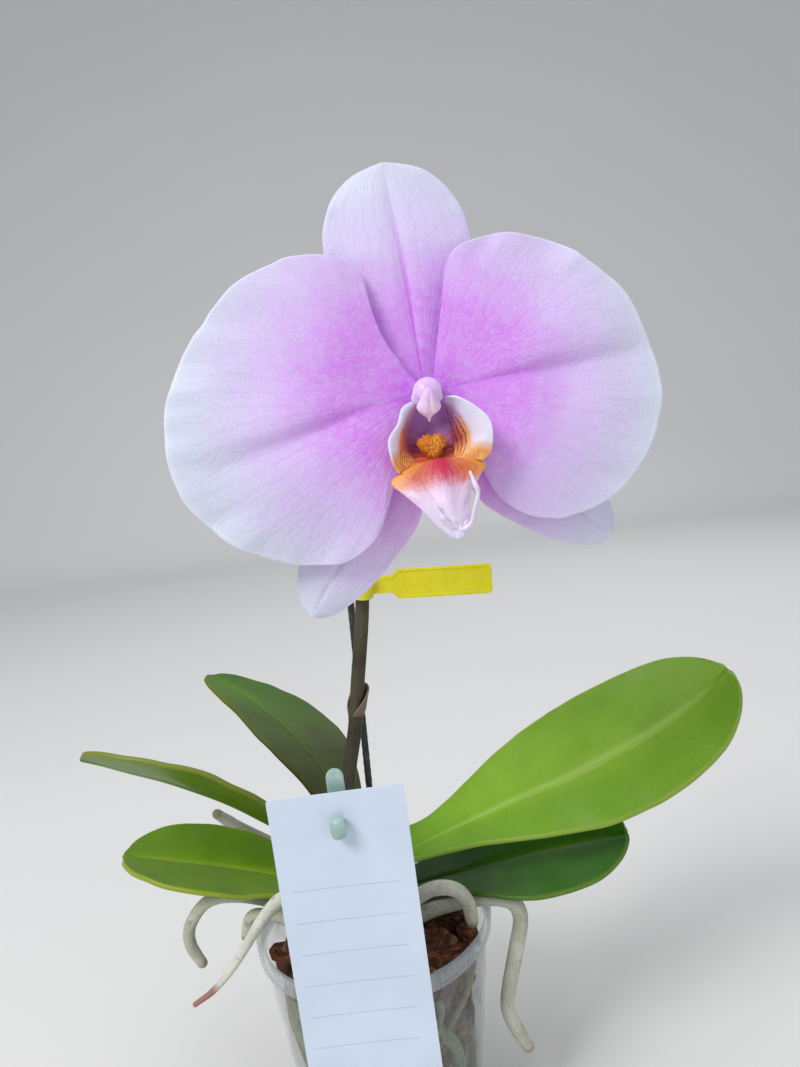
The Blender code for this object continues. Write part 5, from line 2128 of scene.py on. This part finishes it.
@dataclass
class Spike:
    """The flower spike with its nodes, the sheaths on them, and the stake."""

    path: tuple[Point, ...] = ((-3.4, -8.0, 97), (-3.4, -11.4, 105), (-4.2, -9.6, 120),
                               (-3.0, -5.0, 140), (2.0, -5.0, 161), (5.4, -7.4, 180),
                               (9.6, -10.6, 203), (12.6, -15.2, 225), (15.4, -22.0, 246),
                               (19.0, -33.0, 267), (23.4, -46.0, 281), (27.0, -57.5, 286.5))
    foot_radius: float = 0.0028
    tip_radius: float = 0.0021
    nodes: tuple[float, ...] = (0.345, 0.715, 0.93)
    sheath_length: float = 0.011
    stake_foot: Point = (1.0, 13.4, 22.0)
    stake_head: Point = (6.4, 4.6, 262.0)
    stake_radius: float = 0.0013

    def girth(self, share: float, angle: float) -> float:
        """The spike's radius, swollen at each node.

        Args:
            share: how far along, from 0 to 1.
            angle: the angle round, in radians.

        Returns:
            The radius in metres.
        """
        swell = 0.0
        for node in self.nodes:
            past = share - node
            swell += 0.00038 * bell(past, 0.012) - 0.00012 * bell(past - 0.018, 0.008)
        ridge = 0.00005 * math.sin(5 * angle + 8 * share)
        return self.foot_radius + (self.tip_radius - self.foot_radius) * share + swell + ridge

    def build(self) -> None:
        """Make the spike, its sheaths and the stake."""
        track = Track([Vector(p) * MM for p in self.path], 160)
        spike = add_tube("spike_stem", track, self.girth, 28, 180)
        dress(spike, (SpikeFinish("spike_skin").make(),), ["flower_spike"])
        self.build_sheath("spike_bract_lower", track, self.nodes[0] - 0.004, 0.75 * math.pi)
        self.build_sheath("spike_bract_upper", track, self.nodes[1] - 0.004, 1.5 * math.pi)
        self.build_tip(track)
        self.build_stake()

    def build_sheath(self, node: str, track: Track, share: float, turn: float) -> None:
        """Make one pointed sheath that clasps the spike.

        Args:
            node: the solid that it stands for.
            track: the spike's centre line.
            share: how far up the spike it starts.
            turn: which side its point is on.
        """
        def place(s: float, t: float) -> Vector:
            """The sheath's point at (s, t).

            Args:
                s: from -1 to 1 across.
                t: from 0 to 1 along.

            Returns:
                The point.
            """
            middle, _, side, up = track.at(share + self.sheath_length * t / track.length)
            wrap = math.radians(158) * (1 - t) ** 0.62 + 0.04
            angle = turn + wrap * s
            r = (self.girth(share + 0.05, 0.0) + 0.00025 + 0.0004 * smoothstep(t / 0.25)
                 + 0.0010 * t ** 1.5)
            return middle + swing(side, up, angle) * r

        obj = add_sheet(node + "_sheath", 30, 20, place)
        thicken(obj, 0.0006)
        finish = SpikeFinish(node + "_skin", srgb(132, 112, 96), srgb(112, 90, 84),
                             srgb(186, 168, 146))
        dress(obj, (finish.make(), SpikeFinish(node + "_inside").make()), [node])

    def build_tip(self, track: Track) -> None:
        """Make the small dry bud at the very end of the spike.

        Args:
            track: the spike's centre line.
        """
        middle, along, _, up = track.at(0.985)
        points = [middle - along * 0.002, middle + up * 0.001 + along * 0.003,
                  middle + up * 0.0026 + along * 0.0066]
        bud = add_tube("spike_end_bud", Track(points, 20),
                       lambda share, angle: 0.0019 * (1 - 0.55 * share), 16, 16)
        dress(bud, (SpikeFinish("bud_skin", srgb(118, 108, 78), srgb(96, 78, 62)).make(),))

    def build_stake(self) -> None:
        """Make the thin dark stake with its moulded rings."""
        foot, head = Vector(self.stake_foot) * MM, Vector(self.stake_head) * MM
        track = Track([foot, foot.lerp(head, 0.5), head], 40)

        def radius(share: float, angle: float) -> float:
            """A rod with small rings along it."""
            return self.stake_radius * (1 + 0.035 * math.sin(share * 420))

        stake = add_tube("stake_rod", track, radius, 18, 360)
        finish = PlasticFinish("stake_black_plastic", srgb(46, 52, 46), srgb(22, 26, 22), 0.38)
        dress(stake, (finish.make(),), ["support_stake"])


# ---------------------------------------------------------------- bark
@dataclass
class Bark:
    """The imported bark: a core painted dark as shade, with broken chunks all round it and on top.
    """

    top: float = 0.074
    pot: Pot = field(default_factory=Pot)
    kinds: int = 7
    seed: int = 11

    def model_kinds(self, rng: random.Random) -> list[bpy.types.Object]:
        """Model a few chunks once: blocks split by random cuts, then bevelled.

        Args:
            rng: where the cuts come from.

        Returns:
            Chunks about 1 across, for copying.
        """
        out = []
        for k in range(self.kinds):
            deselect_all()
            bpy.ops.mesh.primitive_cube_add(size=1.0)
            chunk = bpy.context.object
            chunk.name = f"bark_kind_{k + 1}"
            size = (1.0, rng.uniform(0.55, 0.8), rng.uniform(0.26, 0.42))
            activate(chunk)
            bpy.ops.object.mode_set(mode="EDIT")
            bpy.ops.mesh.select_all(action="SELECT")
            bpy.ops.transform.resize(value=size)
            for _ in range(7):
                normal = Vector([rng.uniform(-1, 1) for _ in range(3)])
                normal.z *= 0.7
                normal.normalize()
                reach = sum(abs(normal[i]) * size[i] / 2 for i in range(3))
                bpy.ops.mesh.select_all(action="SELECT")
                bpy.ops.mesh.bisect(plane_co=normal * reach * rng.uniform(0.62, 0.86),
                                    plane_no=normal, use_fill=True, clear_outer=True)
            bpy.ops.mesh.select_all(action="SELECT")
            bpy.ops.mesh.normals_make_consistent(inside=False)
            bpy.ops.object.mode_set(mode="OBJECT")
            apply_modifier(chunk, "BEVEL", width=0.022, segments=1, limit_method="ANGLE")
            out.append(chunk)
        return out

    def copy_chunk(self, kind: bpy.types.Object, centre: Vector, turn: Matrix, length: float,
                   rng: random.Random) -> bpy.types.Object:
        """Lay one chunk in place, its faces flattened where the pot stops them.

        Args:
            kind: the chunk to copy.
            centre: where its middle goes.
            turn: how it is turned.
            length: its longest side.
            rng: where its uneven scale comes from.

        Returns:
            The copy, with its place in its mesh.
        """
        chunk = kind.copy()
        chunk.data = kind.data.copy()
        bpy.context.collection.objects.link(chunk)
        stretch = Matrix.Diagonal((length * rng.uniform(0.85, 1.1),
                                   length * rng.uniform(0.85, 1.15),
                                   length * rng.uniform(0.85, 1.15), 1.0))
        chunk.data.transform(Matrix.Translation(centre) @ turn @ stretch)
        for vertex in chunk.data.vertices:
            x, y, z = vertex.co
            z = max(z, self.pot.floor + 0.0006)
            squeeze = min(1.0, self.fill_radius(z) / max(math.hypot(x, y), 0.001))
            vertex.co = (x * squeeze, y * squeeze, z)
        return chunk

    def fill_radius(self, z: float) -> float:
        """How far out the bark reaches at a height."""
        return self.pot.wall_radius(z) - self.pot.wall - 0.0006

    def build(self) -> None:
        """Make the core, the chunks at the wall and the loose ones on top."""
        rng = random.Random(self.seed)
        kinds = self.model_kinds(rng)
        self.build_core()
        wall = []
        z = 0.006
        while z < self.top - 0.004:
            count = int(2 * math.pi * self.fill_radius(z) / 0.0125)
            for k in range(count):
                angle = 2 * math.pi * (k + rng.uniform(-0.3, 0.3)) / count + z * 40
                length = rng.uniform(0.0115, 0.0165)
                depth = rng.uniform(0.0046, 0.0066)
                r = self.fill_radius(z) - depth - length * 0.10
                lean = turns((angle + math.pi / 2, "Z"), (math.radians(rng.uniform(60, 110)), "X"),
                             (rng.uniform(0, 2 * math.pi), "Z"))
                centre = round_axis(r, angle, z + rng.uniform(-0.0015, 0.0015))
                wall.append(self.copy_chunk(rng.choice(kinds), centre, lean, length, rng))
            z += 0.0088
        loose = []
        for ring, count, size in ((0.0085, 5, 0.014), (0.0185, 9, 0.0165), (0.0270, 12, 0.0190),
                                  (0.0345, 17, 0.0170)):
            for k in range(count):
                angle = 2 * math.pi * (k + rng.uniform(-0.25, 0.25)) / count + ring * 90
                r = ring + rng.uniform(-0.0015, 0.0015)
                length = size * rng.uniform(0.75, 1.1)
                lean = turns((angle + rng.uniform(0, 3.1), "Z"),
                             (math.radians(rng.uniform(-26, 26)), "Y"),
                             (math.radians(rng.uniform(-22, 22)), "X"))
                height = self.top + rng.uniform(-0.0022, 0.0030) + 0.0012
                centre = round_axis(r, angle, height)
                loose.append(self.copy_chunk(rng.choice(kinds), centre, lean, length, rng))
        for kind in kinds:
            bpy.data.objects.remove(kind)
        chips = [f"bark_chip_{k + 1:02d}" for k in range(12)]
        packed = join_pieces("bark_packed", wall)
        shade(packed, 30)
        dress(packed, (BarkFinish("bark_packed_cork", srgb(186, 132, 88), srgb(132, 80, 50),
                                  srgb(48, 32, 24)).make(),), ["bark_fill"])
        scattered = join_pieces("bark_loose", loose)
        shade(scattered, 30)
        dress(scattered, (BarkFinish("bark_loose_cork").make(),), chips)

    def build_core(self) -> None:
        """Make the crumbly body behind the chunks, painted dark as the shade between them."""
        low = 0.0024

        def radius(share: float, angle: float) -> float:
            """The pot's taper, with crumbled sides.

            Args:
                share: how far along, from 0 to 1.
                angle: the angle round, in radians.

            Returns:
                The radius in metres.
            """
            z = low + (self.top - low) * share
            around = Vector((math.cos(angle) * 3, math.sin(angle) * 3, z * 110))
            return self.fill_radius(z) - 0.0072 + 0.0013 * ripple(around, 0.6, 4.0)

        core = Track([Vector((0, 0, z)) for z in (low, 0.04, self.top - 0.001)], 40)
        obj = add_tube("bark_core", core, radius, 64, 50, cap=0.003)
        # painted shade: the core's cork colours are darkened for the shade deep between the chunks
        dress(obj, (BarkFinish("bark_core_cork", srgb(84, 58, 42), srgb(58, 38, 28),
                               srgb(28, 20, 16)).make(),), ["bark_fill"])


# ---------------------------------------------------------------- labels
@dataclass
class HangTag:
    """The white card on its mint holder."""

    width: float = 0.044
    length: float = 0.110
    thickness: float = 0.0005
    hole: float = 0.0023
    hole_drop: float = 0.0102
    peg_height: float = 0.1465
    peg_x: float = -0.0032
    card_y: float = -0.04645
    tilt: float = -1.2
    bow: float = 0.0006
    holder_foot: Point = (-3.2, -32.4, 34.0)
    holder_head: Point = (-3.2, -42.6, 160.0)
    holder_width: float = 0.0056
    holder_thickness: float = 0.0020
    peg_radius: float = 0.0015
    peg_reach: float = 0.0034
    knob_radius: float = 0.0026
    knob_length: float = 0.0072

    def build(self) -> None:
        """Make the card and the holder."""
        self.build_card()
        self.build_holder()

    def build_card(self) -> None:
        """Make the card: softly bowed, corners rounded, punched for the peg."""
        deselect_all()
        bpy.ops.mesh.primitive_plane_add(size=1.0)
        card = bpy.context.object
        card.name = "card_blank"
        edit_all(card, lambda: bpy.ops.transform.resize(value=(self.width, self.length, 1.0)),
                 lambda: bpy.ops.mesh.bevel(offset=0.0008, segments=4, affect="VERTICES"))
        deselect_all()
        bpy.ops.mesh.primitive_cylinder_add(
            vertices=40, radius=self.hole, depth=0.01,
            location=(0, self.length / 2 - self.hole_drop, 0))
        punch = bpy.context.object
        apply_modifier(card, "SOLIDIFY", thickness=self.thickness, offset=0.0)
        apply_modifier(card, "BOOLEAN", operation="DIFFERENCE", solver="EXACT", object=punch)
        bpy.data.objects.remove(punch)
        activate(card)
        bpy.ops.object.mode_set(mode="EDIT")
        for across, size, strips in (((0, 1, 0), self.length, 24), ((1, 0, 0), self.width, 9)):
            for k in range(1, strips):
                bpy.ops.mesh.select_all(action="SELECT")
                at = Vector(across) * (size * k / strips - size / 2)
                bpy.ops.mesh.bisect(plane_co=at, plane_no=across)
        bpy.ops.object.mode_set(mode="OBJECT")
        tilt = Matrix.Rotation(math.radians(self.tilt), 3, "Y")
        for vertex in card.data.vertices:
            x, y, z = vertex.co
            below = self.length / 2 - self.hole_drop - y
            bow = self.bow * (2 * x / self.width) ** 2 * smoothstep(below / 0.03)
            bow += 0.0007 * smoothstep((below - 0.06) / 0.04) * (0.5 + x / self.width)
            point = tilt @ Vector((x, z - bow, -below))
            vertex.co = point + Vector((self.peg_x, self.card_y, self.peg_height))
        face_outward(card)
        shade(card, 40)
        dress(card, (CardFinish().make(),), ["hang_tag"])

    def build_holder(self) -> None:
        """Make the stick with its rounded head, the peg and its knob."""
        foot, head = Vector(self.holder_foot) * MM, Vector(self.holder_head) * MM
        lean = (head - foot).normalized()
        length = (head - foot).length
        half = self.holder_width / 2
        outline = [(-half * 0.35, 0.0), (half * 0.35, 0.0), (half, 0.010)]
        outline += [(half * math.cos(a), length + half * math.sin(a))
                    for a in (math.pi * k / 14 for k in range(15))]
        outline += [(-half, 0.010)]
        stick = add_outline("holder_stick", [(x, 0.0, z) for x, z in outline])
        apply_modifier(stick, "SOLIDIFY", thickness=self.holder_thickness, offset=0.0)
        face_outward(stick)
        apply_modifier(stick, "BEVEL", width=0.0004, segments=3, limit_method="ANGLE",
                       angle_limit=math.radians(40))
        turn = Vector((0, 0, 1)).rotation_difference(lean).to_matrix()
        for vertex in stick.data.vertices:
            vertex.co = turn @ vertex.co + foot
        stick.data.update()
        at_peg = foot + lean * ((self.peg_height - foot.z) / lean.z)
        knob_at = Vector((at_peg.x, self.card_y - self.peg_reach, self.peg_height))
        shank = add_tube("holder_shank", Track([at_peg, at_peg.lerp(knob_at, 0.5), knob_at], 12),
                         lambda share, angle: self.peg_radius, 24, 8, cap=0.0003)
        reach = Vector((0, 0, self.knob_length / 2))

        def barrel(share: float, angle: float) -> float:
            """The knob's radius, fullest at its middle."""
            return self.knob_radius * (0.78 + 0.22 * math.sin(math.pi * share))

        knob = add_tube("holder_knob", Track([knob_at - reach, knob_at, knob_at + reach], 20),
                        barrel, 32, 16, cap=0.0010)
        holder = join_pieces("holder_mint_stick", [stick, shank, knob])
        shade(holder, 45)
        finish = PlasticFinish("mint_plastic", srgb(178, 204, 194), srgb(150, 180, 170), 0.30)
        dress(holder, (finish.make(),), ["tag_holder"])


@dataclass
class LoopTag:
    """The glossy yellow tag whose strap loops round the spike."""

    share: float = 0.557
    strap_height: float = 0.0075
    strap_radius: float = 0.0041
    thickness: float = 0.0009
    height: float = 0.0104
    neck: float = 0.0062
    spike: Spike = field(default_factory=Spike)

    def build(self) -> None:
        """Make the strap and the plate with its raised border."""
        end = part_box("loop_tag")[1][0]
        track = Track([Vector(p) * MM for p in self.spike.path[1:]], 160)
        centre, along, side, up = track.at(self.share)
        ring = 36

        def place(s: float, t: float) -> Vector:
            """The strap's section turned round the spike.

            Args:
                s: from -1 to 1 across.
                t: from 0 to 1 along.

            Returns:
                The point.
            """
            section = ((0.0, -1.0), (0.0, 1.0), (0.5, 1.06), (1.0, 1.0), (1.0, -1.0), (0.5, -1.06),
                       (0.0, -1.0))
            out, rise = section[round(t * 6)]
            angle = math.pi * (s + 1)
            r = self.strap_radius - self.thickness * (1 - out)
            return centre + along * (rise * self.strap_height / 2) + swing(side, up, angle) * r

        strap = add_sheet("tag_strap", ring, 6, place)
        close_seam(strap)
        plate = self.add_plate(centre, end)
        tag = join_pieces("tag_yellow_loop", [strap, plate])
        shade(tag, 35)
        finish = PlasticFinish("yellow_plastic", srgb(222, 214, 4), srgb(214, 205, 2), 0.24)
        dress(tag, (finish.make(),), ["loop_tag"])

    def add_plate(self, centre: Vector, far: float) -> bpy.types.Object:
        """Make the plate.

        Args:
            centre: the middle of the strap.
            far: how far along x the solid that it stands for ends.

        Returns:
            The plate, in place.
        """
        end = far - centre.x
        half = self.height / 2
        start = self.strap_radius - self.thickness
        corner = 0.0016
        neck_half = 0.0030
        neck_end = self.strap_radius + self.neck
        shoulder = neck_end + 0.0022
        outline = [(start, -neck_half), (neck_end, -neck_half), (shoulder, -half)]
        for low, middle in ((-math.pi / 2, corner - half), (0.0, half - corner)):
            for k in range(6):
                a = low + math.pi / 2 * k / 5
                outline.append((end - corner + corner * math.cos(a), middle + corner * math.sin(a)))
        outline += [(shoulder, half), (neck_end, neck_half), (start, neck_half)]
        plate = add_outline("tag_plate", [(x, z, 0.0) for x, z in outline])
        edit_all(plate, lambda: bpy.ops.mesh.inset(thickness=0.00075, depth=0.0),
                 lambda: bpy.ops.mesh.inset(thickness=0.00020, depth=-0.00022))
        apply_modifier(plate, "SOLIDIFY", thickness=self.thickness, offset=0.0)
        apply_modifier(plate, "BEVEL", width=0.00012, segments=2, limit_method="ANGLE",
                       angle_limit=math.radians(50))
        turn = Matrix.Rotation(math.radians(-3.0), 3, "Z")
        turn = turn @ Matrix.Rotation(math.radians(2.6), 3, "Y")
        for vertex in plate.data.vertices:
            x, z, y = vertex.co
            bend = 0.0008 * smoothstep((x - 0.012) / 0.03)
            vertex.co = turn @ Vector((x, -y + bend, z)) + centre
        plate.data.update()
        face_outward(plate)
        return plate


# ---------------------------------------------------------------- studio
class Light(Enum):
    """The studio's lights: power in watts, size across and place."""

    KEY = (13.5, 0.6, (-0.72, -0.82, 1.22))
    FILL = (2.8, 1.3, (1.15, -0.95, 0.60))
    RIM = (3.5, 0.8, (0.45, 1.00, 1.05))
    TOP = (4.0, 1.2, (0.0, -0.1, 1.5))


@dataclass
class Studio:
    """The floor, the backdrop, the lights and the camera."""

    floor_size: float = 3.2
    aim: Point = (0.0, 0.0, 0.16)
    eye: Point = (0.0263, -0.2865, 0.2692)
    pitch: float = 7.8
    roll: float = -6.4
    lens: float = 27.05904                # mm, on a frame of the height below
    frame_height: float = 36.0
    sweep_from: float = 1.5               # how far behind the plant the floor begins to rise
    air: float = 0.44

    def build(self) -> None:
        """Set up the studio."""
        self.build_backdrop()
        self.build_lights()
        self.build_camera()
        bpy.context.scene.view_settings.view_transform = "Standard"

    def build_backdrop(self) -> None:
        """Make a round floor that sweeps up behind the plant and stays flat in front."""
        half = self.floor_size * 1.6

        def place(s: float, t: float) -> Vector:
            """Out across the floor, rising behind the plant.

            Args:
                s: from -1 to 1 across.
                t: from 0 to 1 along.

            Returns:
                The point.
            """
            angle = math.pi * (s + 1)
            r = half * t
            x, y = r * math.sin(angle), -r * math.cos(angle)
            rise = max(0.0, y - self.sweep_from)
            return Vector((x * 1.5, min(y, self.sweep_from + rise * 0.5), rise ** 1.5 * 1.1))

        sweep = add_sheet("studio_sweep", 96, 60, place)
        close_seam(sweep)
        face_toward(sweep, Vector((0, -1, 1)))
        shade(sweep)
        net = Net("studio_paper")
        cloud = net.noise(net.place, 3.0, 2.0)
        fibre = net.noise(net.place, 900.0, 2.0)
        tone = net.mix(cloud * 0.5, srgb(226, 225, 222), srgb(233, 232, 230))
        sweep.data.materials.append(net.finish(base_color=tone, roughness=0.8 + fibre * 0.1,
                                               normal=net.bump(fibre, 0.0001, 0.3)))

    def build_lights(self) -> None:
        """Make the soft area lights and the pale surroundings."""
        for light in Light:
            power, size, place = light.value
            data = bpy.data.lights.new("studio_" + light.name.lower(), "AREA")
            data.energy = power
            data.shape = "DISK"
            data.size = size
            obj = bpy.data.objects.new(data.name, data)
            bpy.context.collection.objects.link(obj)
            obj.location = place
            aim = Vector(self.aim) - Vector(place)
            obj.rotation_euler = aim.to_track_quat("-Z", "Y").to_euler()
        world = bpy.data.worlds.new("studio_air")
        world.use_nodes = True
        inputs = world.node_tree.nodes["Background"].inputs
        inputs[0].default_value = (0.86, 0.90, 1.0, 1.0)
        inputs[1].default_value = self.air
        bpy.context.scene.world = world

    def build_camera(self) -> None:
        """Make the camera, pitched down a little and rolled."""
        data = bpy.data.cameras.new("studio_camera")
        data.sensor_fit = "VERTICAL"
        data.sensor_height = self.frame_height
        data.lens = self.lens
        data.clip_start = 0.01
        camera = bpy.data.objects.new("studio_camera", data)
        bpy.context.collection.objects.link(camera)
        pitch = math.radians(self.pitch)
        roll = math.radians(self.roll)
        forward = Vector((0, math.cos(pitch), -math.sin(pitch)))
        right = Vector((1, 0, 0))
        up = right.cross(forward)
        turned_right = right * math.cos(roll) + up * math.sin(roll)
        turned_up = up * math.cos(roll) - right * math.sin(roll)
        turn = Matrix((turned_right, turned_up, -forward)).transposed()
        camera.matrix_world = Matrix.Translation(self.eye) @ turn.to_4x4()
        bpy.context.scene.camera = camera


def main() -> None:
    """Build the studio, then the plant from the pot upward."""
    logging.basicConfig(level=logging.INFO, format="%(name)s: %(message)s", stream=sys.stdout)
    Studio().build()
    Pot().build()
    Bark().build()
    Roots().build()
    Foliage().build()
    Spike().build()
    Petals().build()
    Sepals().build()
    Column().build()
    Lip().build()
    HangTag().build()
    LoopTag().build()


if __name__ == "__main__":
    main()
